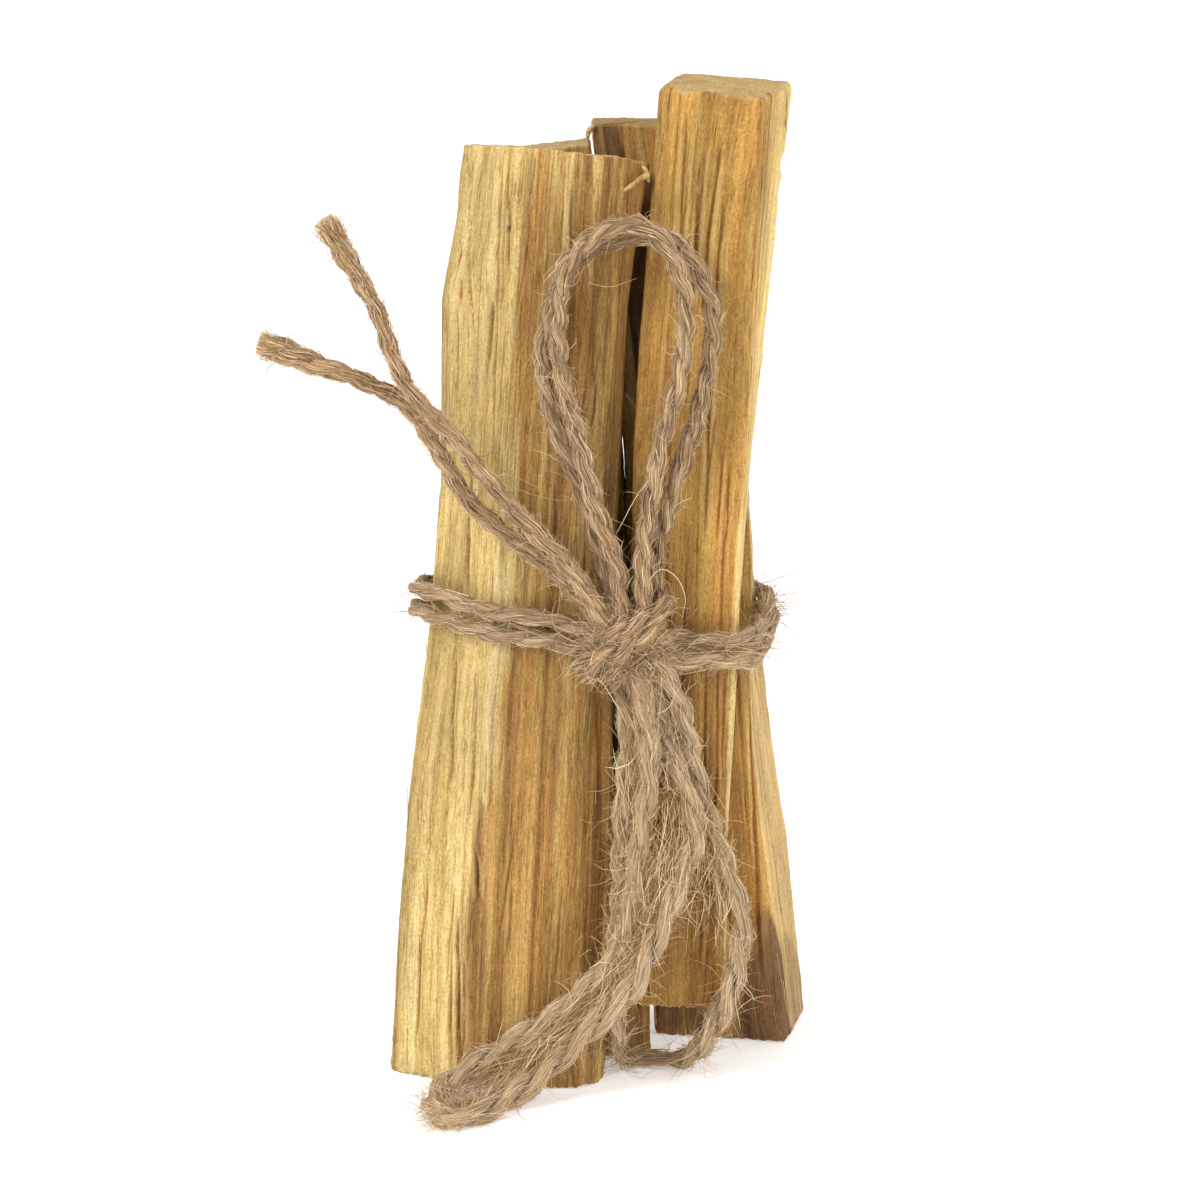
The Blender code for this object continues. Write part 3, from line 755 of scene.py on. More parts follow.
def build_stick(part, plan):
    """A stick's dense mesh: its CAD shape with relief along the grain, marks, and sawn ends."""
    node, slot = "stick_" + part, "wood_" + part
    material = wood_material(slot, **WOOD_TONES[part])
    points, around, spine, from_foot, from_top = sample_stick(
        node, plan["seam"], plan["columns"], plan["rows"], plan["dense"]
    )
    rows, columns = points.shape[:2]
    u = np.broadcast_to(around[None, :], (rows, columns))
    z = points[..., 2].copy()
    normals = outward(points)
    random = np.random.default_rng(plan["seed"])
    height = side_height(plan, u, z, around[-1], normals, random)
    # How far each point stands above its neighbours. The shader paints shade in the hollows and a highlight
    # on the ridges from it.
    tone = np.clip((height - over_neighbours(height, 5)) / 0.095, -1.0, 1.0)
    points = worn_ends(plan, points, normals, u, height, from_foot, from_top)
    ends = [sawn_end(plan, points[row], spine[row], up) for row, up in ((0, -1.0), (rows - 1, 1.0))]
    if plan["on_floor"]:
        points[..., 2] = np.maximum(points[..., 2], 0.0)
    all_points, faces = closed_by_ends(points, ends)
    if plan["on_floor"]:
        all_points[:, 2] = np.maximum(all_points[:, 2], 0.0)

    sides = rows * columns
    flat_u = np.concatenate([u.ravel()] + [np.append(np.tile(around, len(END_RINGS)), 0.0)] * 2)
    flat_z = np.concatenate((z.ravel(), all_points[sides:, 2]))
    sap = np.clip(plan["sap"](flat_u, flat_z), 0.0, 1.0)
    right_face = plan.get("right_face", 0.0) * step_up(0.45, 0.80, normals[..., 0])
    sap[:sides] = np.maximum(sap[:sides], right_face.ravel())
    # Stains, and the painted shadow where a face is seen through the slit between the front sticks.
    stain_and_shadow = np.zeros(len(flat_u))
    for *mark, strength in plan["stains"]:
        stain_and_shadow = np.maximum(stain_and_shadow, strength * blob(flat_u, flat_z, mark))
    for outline, strength, soft in plan.get("wedges", []):
        stain_and_shadow = np.maximum(stain_and_shadow, strength * wedge(flat_u, flat_z, outline, soft))
    rise = np.zeros(len(flat_u))
    rise[:sides] = tone.ravel()
    about_waist = np.exp(-(((flat_z - WAIST_HEIGHT) / WAIST_REACH) ** 2))
    # Painted light: the sapwood about the tie is lifted toward the ridge highlight.
    rise += plan.get("painted_waist_light", 0.0) * sap * about_waist
    spill = plan.get("spill", 0.12) * rough_noise(u / 1.3, z * 0.0, seed=2)
    sawn_top = 1.0 - step_up(0.0, plan["wear"] * 0.7, from_top[:, None] + spill)
    sawn_foot = 1.0 - step_up(0.0, 0.25, from_foot[:, None])
    cut = np.ones(len(flat_u))
    cut[:sides] = np.maximum(sawn_top, sawn_foot).ravel()
    attributes = {
        "grain": np.column_stack((flat_u, flat_z, np.full(len(flat_u), plan["seed"] * 1.7))),
        "tone": np.column_stack((sap, stain_and_shadow, rise)),
        "cut": cut,
        "place": all_points,
    }
    made = make_mesh("wood_" + node, all_points, faces, material, slot, attributes)
    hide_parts(node)
    sides_sap = sap[:sides].reshape(rows, columns)
    groups = [peeled_paths(points, normals, u, z, sides_sap, random, plan["peels"])]
    groups += splinter_paths(plan.get("splinters", []))
    add_peels("wood_peels_" + part, groups, material, slot)


def peeled_paths(points, normals, u, z, sap, random, count, steps=7):
    """Fibres split off along the grain, denser at the arrises and the ends, with their tones."""
    rows, columns = points.shape[:2]
    turned = np.roll(normals, -2, axis=1) - np.roll(normals, 2, axis=1)
    bend = np.linalg.norm(turned, axis=-1).mean(0)
    weight = 0.12 + np.minimum(bend, 1.0)
    column = random.choice(columns, count, p=weight / weight.sum())
    low = random.uniform(6, rows - 18, count)
    near_end = random.random(count) < 0.25
    end_row = random.choice((5.0, rows - 16.0), count) + random.uniform(0, 4, count)
    low = np.where(near_end, end_row, low)
    reach = random.uniform(1.2, 8.0, count)
    part = np.linspace(0.0, 1.0, steps)
    up = random.random(count) < 0.5
    place = low[:, None] + reach[:, None] * np.where(up[:, None], part, 1.0 - part)
    below = np.clip(place.astype(int), 0, rows - 2)
    within = (place - below)[..., None]
    pick = column[:, None]
    base = points[below, pick] * (1.0 - within) + points[below + 1, pick] * within
    lift = random.exponential(0.16, count)[:, None] * part**2 + 0.01
    sideways = random.normal(size=(count, 1)) * 0.12 * part**2
    normal = normals[below, pick]
    paths = base + normal * lift[..., None]
    paths[..., 0] += sideways * normal[..., 1]
    paths[..., 1] -= sideways * normal[..., 0]
    radii = random.uniform(0.030, 0.085, count)[:, None] * (1.0 - 0.75 * part[None] ** 2)
    none = np.zeros(below.shape)
    grain = np.stack((u[below, pick] + 0.3, z[below, pick], none), axis=-1)
    # The relief share of 0.35 gives the peeled fibres a little painted highlight.
    tone = np.stack((sap[below, pick], none, none + 0.35), axis=-1)
    return paths, radii, grain, tone


def add_peels(name, groups, material, slot):
    """A mesh of fibres from several sets of paths, each with its own step count."""
    points, faces = joined([hair_tubes(paths, radii) for paths, radii, _, _ in groups])
    grain, tone = (
        np.concatenate([np.repeat(group[place].reshape(-1, 3), 3, axis=0) for group in groups])
        for place in (2, 3)
    )
    attributes = {"grain": grain, "tone": tone, "cut": np.zeros(len(points)), "place": points}
    return make_mesh(name, points, [faces], material, slot, attributes)


def splinter_paths(splinters):
    """Curled splinters, each a route with a half width, as one-path sets for add_peels."""
    groups = []
    for route, half_width in splinters:
        path, run = smooth_route(route, 0.22)
        part = run / run[-1]
        none = np.zeros(len(run))
        radii = half_width * (0.35 + 0.65 * np.sin(np.pi * np.clip(part, 0.0, 1.0)) ** 0.5)
        grain = np.stack((none + 31.0, 4.0 * run, none), axis=-1)
        # The relief share of 0.2 gives the splinter a faint painted highlight.
        tone = np.stack((none + 0.85, none, none + 0.2), axis=-1)
        groups.append((path[None], radii[None], grain[None], tone[None]))
    return groups


def front_left_sap(u, z):
    """Sapwood on the left face, with a boundary that drifts across the front as it rises."""
    heights = (0, 6, 20, 30, 34, 40, 48, 65, 101)
    boundary = np.interp(z, heights, (19.0, 19.2, 19.9, 20.4, 21.8, 22.9, 23.2, 23.5, 21.8))
    edge = u - boundary + 0.8 * noise(z / 6.0, u * 0.0, seed=77)
    left = step_up(-3.4, 2.0, -edge) * (1.0 - 0.17 * step_up(60.0, 84.0, z))
    pale_top = 0.46 * step_up(70.0, 99.0, z) * (1.0 - step_up(31.0, 34.5, u))
    return np.maximum(left, pale_top) * step_up(9.0, 12.0, u)


def front_right_sap(u, z):
    """A pale rib down the right corner, the pale right face, and faint streaks."""
    corner = np.exp(-(((u - 18.0) / 1.0) ** 2)) * (0.95 - 0.50 * step_up(55.0, 70.0, z))
    right = step_up(18.2, 19.4, u) * (1.0 - step_up(25.5, 28.0, u))
    right = right * (0.62 + 0.35 * step_up(40.0, 80.0, z))
    streaks = 0.12 + 0.13 * noise(u / 1.3, z / 40.0, seed=12)
    return np.maximum(np.maximum(corner, right), streaks)


def back_left_sap(u, z):
    return 0.22 + 0.25 * noise(u / 3.0, z / 50.0, seed=23) + 0.5 * step_up(28.0, 36.0, u)


def back_right_sap(u, z):
    return 0.16 + 0.22 * noise(u / 3.0, z / 50.0, seed=29)


def front_right_roughness(u, z):
    """Ribbed on the front and smooth on the right face."""
    return 0.80 - 0.42 * step_up(18.5, 21.0, u)


def front_left_roughness(u, z):
    """Deep slats on the sapwood face, finer grain on the front."""
    left = step_up(11.0, 13.5, u) * (1.0 - step_up(21.5, 24.0, u))
    return 0.52 + 0.36 * left


WOOD_TONES = {
    "front_left": dict(
        heart=((0.205, 0.100, 0.025), (0.350, 0.201, 0.056), (0.510, 0.332, 0.114)),
        sap=((0.430, 0.281, 0.086), (0.578, 0.407, 0.147), (0.714, 0.548, 0.250)),
        patch=((0.125, 0.060, 0.026), (0.215, 0.112, 0.048)),
        end=((0.330, 0.195, 0.070), (0.520, 0.345, 0.140), (0.700, 0.510, 0.250)),
        shift=3.0,
        lined=0.62,
        spread=0.085,
    ),
    "front_right": dict(
        heart=((0.245, 0.122, 0.028), (0.405, 0.226, 0.054), (0.560, 0.350, 0.094)),
        sap=((0.480, 0.295, 0.085), (0.650, 0.445, 0.155), (0.770, 0.585, 0.265)),
        patch=((0.150, 0.060, 0.022), (0.235, 0.110, 0.038)),
        end=((0.400, 0.245, 0.080), (0.620, 0.420, 0.170), (0.780, 0.590, 0.300)),
        shift=11.0,
        lined=0.36,
        spread=0.12,
    ),
    "back_left": dict(
        heart=((0.230, 0.120, 0.034), (0.375, 0.218, 0.068), (0.510, 0.330, 0.118)),
        sap=((0.420, 0.258, 0.074), (0.570, 0.385, 0.130), (0.690, 0.510, 0.208)),
        patch=((0.105, 0.052, 0.026), (0.200, 0.105, 0.048)),
        end=((0.420, 0.265, 0.100), (0.610, 0.420, 0.185), (0.770, 0.590, 0.310)),
        shift=19.0,
        lined=0.55,
        spread=0.085,
    ),
    "back_right": dict(
        heart=((0.270, 0.136, 0.031), (0.450, 0.256, 0.068), (0.590, 0.370, 0.112)),
        sap=((0.470, 0.292, 0.108), (0.580, 0.390, 0.162), (0.670, 0.485, 0.222)),
        patch=((0.085, 0.042, 0.017), (0.215, 0.112, 0.046)),
        end=((0.260, 0.150, 0.050), (0.440, 0.280, 0.105), (0.600, 0.420, 0.190)),
        shift=27.0,
        lined=0.34,
        spread=0.125,
    ),
}

# Each stick's surface. Marks are placed by u, the distance round the stick from its seam, and z.
# A crack or a strip runs from (u, z) to (u, z), then has its half width and its depth or height.
# A stain or a swell has its middle, its half width, its half height, and its strength or height.
# A wedge has an outline of (z, low edge, high edge), its strength and the softness of its edges.
# A splinter has its route and its half width.
# dense is a stretch round the stick and the share of the columns that it gets, depth is the height
# of the slats, chance is how many fine cracks come by chance, and peels is how many fibres peel.
STICK_PLANS = {
    "front_left": dict(
        seam=90.0, columns=336, rows=140, dense=(11.0, 36.0, 0.68), peels=190, seed=3, depth=0.085,
        roughness=front_left_roughness, chance=90, wear=0.25, wear_foot=0.42, ragged=0.16,
        ragged_foot=0.62, dome=0.05, on_floor=True, sap=front_left_sap, painted_waist_light=0.42,
        cracks=[
            (17.15, 81.0, 13.85, 98.6, 0.13, 0.75), (14.6, 95.5, 12.6, 99.3, 0.14, 0.45),
            (14.3, 87.4, 14.4, 89.4, 0.22, 0.5), (15.2, 83.6, 15.3, 86.6, 0.24, 0.5),
            (20.5, 70.0, 19.4, 96.0, 0.20, 0.45), (19.2, 78.0, 19.4, 85.2, 0.34, 0.65),
            (17.6, 60.0, 17.6, 66.0, 0.20, 0.5), (18.3, 53.0, 17.5, 61.0, 0.26, 0.75),
            (18.3, 33.0, 17.2, 46.0, 0.22, 0.5), (20.6, 30.0, 20.3, 46.0, 0.18, 0.4),
            (22.4, 21.0, 21.4, 26.5, 0.16, 0.6), (20.5, 1.0, 20.1, 18.5, 0.15, 0.75),
            (20.9, 3.0, 20.8, 14.0, 0.12, 0.5), (16.0, 4.0, 16.6, 22.0, 0.14, 0.35),
            (27.0, 60.0, 26.6, 88.0, 0.10, 0.20), (33.0, 60.0, 33.2, 90.0, 0.12, 0.30),
        ],
        splinters=[
            (((5.0, -8.5, 97.6), (4.7, -9.5, 98.7), (4.4, -10.1, 99.3)), 0.30),
            (
                (
                    (5.0, -8.6, 97.3), (4.9, -9.4, 98.2), (4.3, -10.6, 98.3), (3.4, -11.6, 97.8),
                    (2.4, -12.2, 97.2),
                ),
                0.40,
            ),
        ],
        strips=[
            (20.9, 86.5, 20.0, 100.0, 0.42, 0.26), (22.3, 50.5, 21.7, 65.0, 0.65, 0.26),
            (19.3, 32.0, 18.6, 47.0, 0.35, 0.24), (22.3, 31.0, 21.8, 47.5, 0.45, 0.28),
            (14.5, 54.0, 14.3, 75.0, 0.50, 0.16), (16.0, 28.0, 15.6, 50.0, 0.45, 0.18),
            (25.1, 8.0, 24.2, 44.0, 0.55, 0.07),
        ],
        stains=[
            (21.9, 26.0, 0.55, 6.0, 0.75), (22.9, 12.0, 0.35, 9.0, 0.62), (29.3, 30.0, 0.5, 24.0, 0.50),
            (21.1, 92.8, 0.28, 0.4, 0.95), (23.0, 94.0, 0.5, 7.0, 0.50), (20.2, 10.0, 0.3, 8.0, 0.55),
            (33.5, 70.0, 1.4, 30.0, 0.35),
        ],
    ),
    "front_right": dict(
        seam=150.0, columns=256, rows=134, dense=(5.0, 27.0, 0.72), peels=130, seed=11, depth=0.066,
        roughness=front_right_roughness, chance=70, wear=0.75, wear_foot=0.30, ragged=0.10,
        ragged_foot=0.80, dome=0.55, on_floor=False, sap=front_right_sap, spill=0.9,
        cracks=[
            (10.9, 84.0, 10.7, 97.0, 0.16, 0.45), (12.0, 88.0, 12.4, 102.0, 0.14, 0.45),
            (9.0, 88.0, 8.6, 104.0, 0.16, 0.35), (13.8, 60.0, 13.2, 96.0, 0.15, 0.45),
            (10.0, 40.0, 9.8, 80.0, 0.15, 0.20), (12.2, 20.0, 12.0, 60.0, 0.14, 0.18),
            (14.8, 12.0, 14.6, 48.0, 0.15, 0.24), (16.2, 20.0, 15.8, 70.0, 0.13, 0.22),
            (24.7, 97.3, 24.7, 99.4, 0.9, 0.45), (25.3, 94.4, 25.3, 96.4, 0.9, 0.40),
            (8.2, 10.0, 8.0, 46.0, 0.14, 0.35),
        ],
        strips=[
            (17.9, 9.0, 17.9, 56.0, 0.62, 0.22), (9.7, 90.0, 9.5, 105.0, 0.30, 0.16),
            (11.5, 86.0, 11.4, 104.0, 0.22, 0.18), (7.9, 60.0, 8.3, 92.0, 0.30, 0.12),
        ],
        stains=[
            (11.5, 34.0, 6.0, 26.0, 0.55), (13.5, 73.0, 4.5, 12.0, 0.38), (10.6, 98.6, 0.25, 1.6, 0.85),
            (12.3, 100.4, 0.28, 1.2, 0.45), (11.0, 96.0, 0.20, 3.0, 0.55),
        ],
    ),
    "back_left": dict(
        seam=-120.0, columns=176, rows=92, dense=(10.0, 38.0, 0.72), peels=110, seed=19, depth=0.110,
        roughness=0.8, chance=50, wear=0.45, wear_foot=0.40, ragged=0.18, ragged_foot=0.20,
        dome=0.08, on_floor=True, sap=back_left_sap,
        swells=[(13.0, 57.6, 4.5, 5.0, 0.42)],
        cracks=[
            (12.0, 10.0, 12.4, 70.0, 0.2, 0.45), (22.0, 30.0, 21.5, 96.0, 0.2, 0.50),
            (26.0, 2.0, 26.5, 50.0, 0.2, 0.45), (33.0, 40.0, 33.3, 90.0, 0.2, 0.40),
        ],
        strips=[(19.0, 40.0, 19.4, 92.0, 0.6, 0.18), (30.0, 8.0, 29.5, 60.0, 0.7, 0.2)],
        stains=[(24.0, 70.0, 1.0, 22.0, 0.5)],
    ),
    "back_right": dict(
        seam=-135.0, columns=200, rows=102, dense=(3.0, 21.0, 0.52), peels=90, seed=27, depth=0.060,
        roughness=0.75, chance=40, wear=0.40, wear_foot=0.50, ragged=0.16, ragged_foot=0.25,
        dome=0.08, on_floor=True, sap=back_right_sap, right_face=1.0,
        splinters=[
            (((-0.5, 1.2, 101.2), (-1.0, 1.0, 101.0), (-1.3, 0.9, 100.5), (-1.2, 0.9, 99.9)), 0.36),
        ],
        swells=[(39.5, 58.4, 4.5, 4.2, 0.40)],
        wedges=[
            (
                (
                    (0, 3.8, 12.6), (4, 5.4, 12.5), (8, 6.6, 12.2), (12, 7.2, 11.4), (15, 7.8, 10.2),
                    (18, 8.2, 9.0),
                ),
                0.80,
                0.6,
            ),
            (((0, -2.0, 12.0), (2, -2.0, 11.0), (6.5, -2.0, 6.0)), 0.55, 0.8),
            (((0, 12.0, 22.0), (5, 12.0, 21.0), (10, 12.0, 16.5), (15, 12.0, 13.0)), 0.50, 1.6),
            # Painted shadow: the deep dark of the slit between the front sticks, on the face seen through
            # it.
            (
                ((48, -3.0, 1.6), (66, -3.0, 2.4), (80, -3.0, 4.6), (88, -3.0, 6.0), (95, -3.0, 6.5)),
                1.0,
                0.5,
            ),
        ],
        cracks=[
            (8.2, 8.0, 9.6, 40.0, 0.16, 0.40), (12.4, 4.0, 11.6, 34.0, 0.16, 0.35),
            (14.6, 2.0, 13.8, 44.0, 0.18, 0.40), (24.0, 10.0, 24.4, 90.0, 0.2, 0.45),
            (29.0, 30.0, 28.6, 98.0, 0.2, 0.45), (1.2, 90.0, 1.4, 99.0, 0.2, 0.30),
        ],
        strips=[(17.4, 12.0, 17.0, 60.0, 0.5, 0.16), (26.5, 20.0, 26.0, 70.0, 0.6, 0.18)],
        stains=[
            (1.6, 1.6, 3.2, 2.6, 0.95), (41.5, 3.0, 2.0, 6.0, 0.9), (13.2, 2.0, 1.2, 3.0, 0.45),
            (0.3, 98.0, 1.75, 7.0, 1.05), (42.6, 99.0, 1.2, 6.0, 0.9),
        ],
    ),
}  # fmt: skip


def build_sticks():
    for part, plan in STICK_PLANS.items():
        build_stick(part, plan)


# ---------------------------------------------------------------- twine


def smooth_route(route, spacing):
    """Evenly spaced points of a Catmull-Rom curve through the route, and how far along each is."""
    stops = np.array(route, float)
    stops = np.vstack((2 * stops[0] - stops[1], stops, 2 * stops[-1] - stops[-2]))
    part = np.linspace(0.0, 1.0, 24, endpoint=False)[:, None]
    fine = []
    for before, start, end, after in zip(stops, stops[1:], stops[2:], stops[3:]):
        fine.append(
            0.5
            * (
                2.0 * start
                + (end - before) * part
                + (2.0 * before - 5.0 * start + 4.0 * end - after) * part**2
                + (3.0 * start - before - 3.0 * end + after) * part**3
            )
        )
    fine = np.vstack((*fine, stops[-2]))
    run = np.concatenate(([0.0], np.cumsum(np.linalg.norm(np.diff(fine, axis=0), axis=1))))
    count = max(2, round(run[-1] / spacing))
    want = np.linspace(0.0, run[-1], count + 1)
    return np.column_stack([np.interp(want, run, fine[:, axis]) for axis in range(3)]), want


def carried_frame(points):
    """Tangents, and two sideways directions carried along the path without twisting."""
    tangents = np.gradient(points, axis=0)
    tangents /= np.linalg.norm(tangents, axis=1, keepdims=True)
    side = np.empty_like(points)
    start = np.cross(tangents[0], (0.0, 1.0, 0.2))
    side[0] = start / np.linalg.norm(start)
    for index in range(1, len(points)):
        carried = side[index - 1] - tangents[index] * (side[index - 1] @ tangents[index])
        side[index] = carried / np.linalg.norm(carried)
    return tangents, side, np.cross(tangents, side)


# How far apart a strand's cross sections are, and how far it strays from its route.
TWINE_STEP = 0.48
TWINE_DRIFT = 0.10

# The twine's two plies: the points round each, the length of a turn, how far each one's middle is
# from the twine's, how far its fibres twist for each turn, and its radius.
PLY_SIDES = 10
PLY_PITCH = 6.6
PLY_OFFSET = 0.48
FIBRE_TWIST = 1.2
PLY_RADIUS = 0.60

# The lowest that a strand's middle, a ply's surface and a loose hair's middle lie over the floor.
LOWEST_MIDDLE = 1.05
LOWEST_PLY = 0.03
LOWEST_HAIR = 0.12


def along_strand(value, part):
    """A value for each share of a strand's length, from one number or a function."""
    return value(part) if callable(value) else np.full(len(part), float(value))


class Twine:
    """One strand of two-ply twine along a route, S-laid.

    size is how thick its plies are and opening how far they have parted, slack is how much longer
    than usual a turn of theirs is, tight is how close they lie, and pale is how much is worn pale.
    """

    def __init__(self, route, seed, size=1.0, opening=0.0, slack=1.0, tight=1.0, pale=0.0):
        self.points, self.run = smooth_route(route, TWINE_STEP)
        self.seed, self.tight, self.pale = seed, tight, pale
        drift = [noise(self.run / 3.3, seed + 5.0 * axis, seed=seed) for axis in range(3)]
        self.points = self.points + TWINE_DRIFT * np.column_stack(drift)
        self.points[:, 2] = np.maximum(self.points[:, 2], LOWEST_MIDDLE)
        self.tangents, self.side, self.other = carried_frame(self.points)
        self.length = self.run[-1]
        self.size = along_strand(size, self.run / self.length)
        self.opening = along_strand(opening, self.run / self.length)
        pitch = PLY_PITCH * slack * (1.0 + 0.16 * noise(self.run / 14.0, seed * 1.0, seed=seed + 2))
        self.turn = -np.concatenate(([0.0], np.cumsum(TAU * np.diff(self.run) / pitch[1:]))) + seed

    def out(self, spots, angle):
        """Directions out of the twine at those places along it, each at its angle round it."""
        return np.cos(angle)[:, None] * self.side[spots] + np.sin(angle)[:, None] * self.other[spots]

    def ply_lines(self):
        """For each ply: its centres, its radii and the direction from the twine's middle to it."""
        for ply in (0, 1):
            turn = self.turn + np.pi * ply + 0.25 * noise(self.run / 5.0, ply, seed=self.seed + 3)
            away = self.out(slice(None), turn)
            swell = 1.0 + 0.13 * noise(self.run / 2.2, ply * 9.0, seed=self.seed + 4)
            offset = PLY_OFFSET * self.tight * self.size * (1.0 + 0.9 * self.opening)
            yield self.points + away * offset[:, None], PLY_RADIUS * self.size * swell, away

    def mesh(self):
        """Points, quads and caps, and attributes of both plies, each a closed tube."""
        rows, side = len(self.run), np.arange(PLY_SIDES)
        angles = TAU * side / PLY_SIDES
        lay = angles[None, :] + FIBRE_TWIST * self.turn[:, None]
        uneven = noise(np.cos(lay) * 2.6, np.sin(lay) * 2.6, self.run[:, None] / 4.0, self.seed)
        run = np.broadcast_to(self.run[:, None], lay.shape) + 37.0 * self.seed
        quads = grid_faces(rows, PLY_SIDES)
        caps = np.stack((side[::-1], (rows - 1) * PLY_SIDES + side))
        tubes, strands = [], []
        for ply, (centres, radii, away) in enumerate(self.ply_lines()):
            ahead = np.gradient(centres, axis=0)
            ahead /= np.linalg.norm(ahead, axis=1, keepdims=True)
            one = away - ahead * (away * ahead).sum(1, keepdims=True)
            one /= np.linalg.norm(one, axis=1, keepdims=True)
            two = np.cross(ahead, one)
            radius = radii[:, None] * (1.0 + 0.15 * uneven)
            radius[[0, -1]] *= 0.5
            cosine, sine = np.cos(angles)[None, :, None], np.sin(angles)[None, :, None]
            ring = centres[:, None] + radius[..., None] * (cosine * one[:, None] + sine * two[:, None])
            ring[..., 2] = np.maximum(ring[..., 2], LOWEST_PLY)
            tubes.append(ring.reshape(-1, 3))
            strands.append(np.stack((np.cos(lay) + 5.0 * ply, np.sin(lay), run), axis=-1).reshape(-1, 3))
        points, quads = joined([(tube, quads) for tube in tubes])
        _, caps = joined([(tube, caps) for tube in tubes])
        # Painted shade on the side of each ply that faces the other ply, where the crease lies.
        crease_shade_share = step_up(0.30, 0.78, -np.cos(angles))
        attributes = {
            "strand": np.concatenate(strands),
            "gap": np.tile(crease_shade_share, 2 * rows),
            "pale": np.full(len(points), self.pale),
        }
        return points, [quads, caps], attributes


def hair_tubes(paths, radii):
    """Closed three-sided tubes along short paths of equal point count, as points and triangles."""
    count, steps = paths.shape[:2]
    lines = np.gradient(paths, axis=1)
    lines /= np.maximum(np.linalg.norm(lines, axis=-1, keepdims=True), 1e-9)
    helper = np.where(np.abs(lines[:, :1, 2:]) > 0.8, (1.0, 0.0, 0.0), (0.0, 0.0, 1.0))
    one = np.cross(lines, np.broadcast_to(helper, lines.shape))
    one /= np.maximum(np.linalg.norm(one, axis=-1, keepdims=True), 1e-6)
    two = np.cross(lines, one)
    angles = TAU * np.arange(3) / 3
    ring = paths[:, :, None] + radii[:, :, None, None] * (
        np.cos(angles)[:, None] * one[:, :, None] + np.sin(angles)[:, None] * two[:, :, None]
    )
    base = np.arange(count)[:, None, None] * steps * 3
    row = np.arange(steps - 1)[None, :, None] * 3
    side = np.arange(3)[None, None, :]
    a, b = base + row + side, base + row + (side + 1) % 3
    c, d = b + 3, a + 3
    walls = [np.stack(corners, -1).reshape(-1, 3) for corners in ((a, b, c), (a, c, d))]
    start = base[:, 0] + np.array((2, 1, 0))
    end = base[:, 0] + (steps - 1) * 3 + np.array((0, 1, 2))
    return ring.reshape(-1, 3), np.concatenate((*walls, start, end))


def wander(starts, directions, lengths, curl, random, steps):
    """Paths that set off in a direction and keep bending, each with a curl of its own."""
    count = len(starts)
    spin = random.normal(size=(count, 3)) * curl[:, None]
    paths = np.empty((count, steps, 3))
    paths[:, 0] = starts
    heading = directions / np.linalg.norm(directions, axis=1, keepdims=True)
    stride = (lengths / (steps - 1))[:, None]
    for step in range(1, steps):
        shake = random.normal(size=(count, 3)) * 0.10 * np.sqrt(stride)
        heading = heading + (np.cross(spin, heading) * stride + shake)
        heading /= np.linalg.norm(heading, axis=1, keepdims=True)
        paths[:, step] = paths[:, step - 1] + heading * stride
    paths[..., 2] = np.maximum(paths[..., 2], LOWEST_HAIR)
    return paths


def loose_hairs(twine, per_mm, random, reach=1.0, steps=5, near=1.0):
    """Fibre ends that stand out from the twine all round. near is how dense they are along it."""
    weight = along_strand(near, twine.run / twine.length)
    count = int(per_mm * twine.length * weight.mean())
    spots = random.choice(len(twine.run), size=count, p=weight / weight.sum())
    away = twine.out(spots, random.uniform(0, TAU, count))
    starts = twine.points[spots] + away * (0.70 * twine.size[spots])[:, None]
    along = random.choice((-1.0, 1.0), count)[:, None] * twine.tangents[spots]
    lean = random.uniform(1.2, 7.0, count)[:, None]
    lengths = np.clip(random.lognormal(0.50, 0.55, count) * reach, 0.5, 7.0)
    curl = np.minimum(random.exponential(0.32, count), 0.9)
    return wander(starts, away + lean * along, lengths, curl, random, steps)


def long_hairs(twine, count, random, steps=12):
    """A few long fibres that have worked loose and curl away."""
    spots = random.integers(0, len(twine.run), count)
    away = twine.out(spots, random.uniform(0, TAU, count))
    along = random.choice((-1.0, 1.0), count)[:, None] * twine.tangents[spots]
    heading = away + random.uniform(0.6, 2.5, count)[:, None] * along
    lengths, curl = random.uniform(4.0, 9.5, count), random.exponential(0.30, count)
    return wander(twine.points[spots] + 0.7 * away, heading, lengths, curl, random, steps)


def laid_hairs(twine, per_mm, random, lift=0.35, steps=5):
    """Fibres that lie on the plies along their lay and lift off at their ends."""
    count = int(per_mm * twine.length)
    lines = list(twine.ply_lines())
    paths = np.empty((count, steps, 3))
    spacing = twine.run[1] - twine.run[0]
    last = len(twine.run) - 1
    part = np.linspace(-1, 1, steps)
    for hair in range(count):
        centres, radii, away = lines[random.integers(2)]
        reach = random.uniform(2.0, 6.5) / spacing
        first = random.uniform(-0.2 * reach, last - 0.8 * reach)
        places = np.clip(np.linspace(first, first + reach, steps), 0, last)
        index = np.minimum(places.astype(int), last - 1)
        angle = random.uniform(0, TAU) - FIBRE_TWIST * (twine.turn[index] - twine.turn[index[0]])
        angle = angle + 0.04 * (places - first) * random.normal()
        ahead = np.cross(twine.tangents[index], away[index])
        out = np.cos(angle)[:, None] * away[index] + np.sin(angle)[:, None] * ahead
        off = random.uniform(-0.02, 0.10) + lift * random.random() ** 2 * np.abs(part) ** 4
        within = (places - index)[:, None]
        exact = centres[index] * (1.0 - within) + centres[index + 1] * within
        paths[hair] = exact + out * (radii[index] + off)[:, None]
    paths[..., 2] = np.maximum(paths[..., 2], LOWEST_HAIR)
    return paths


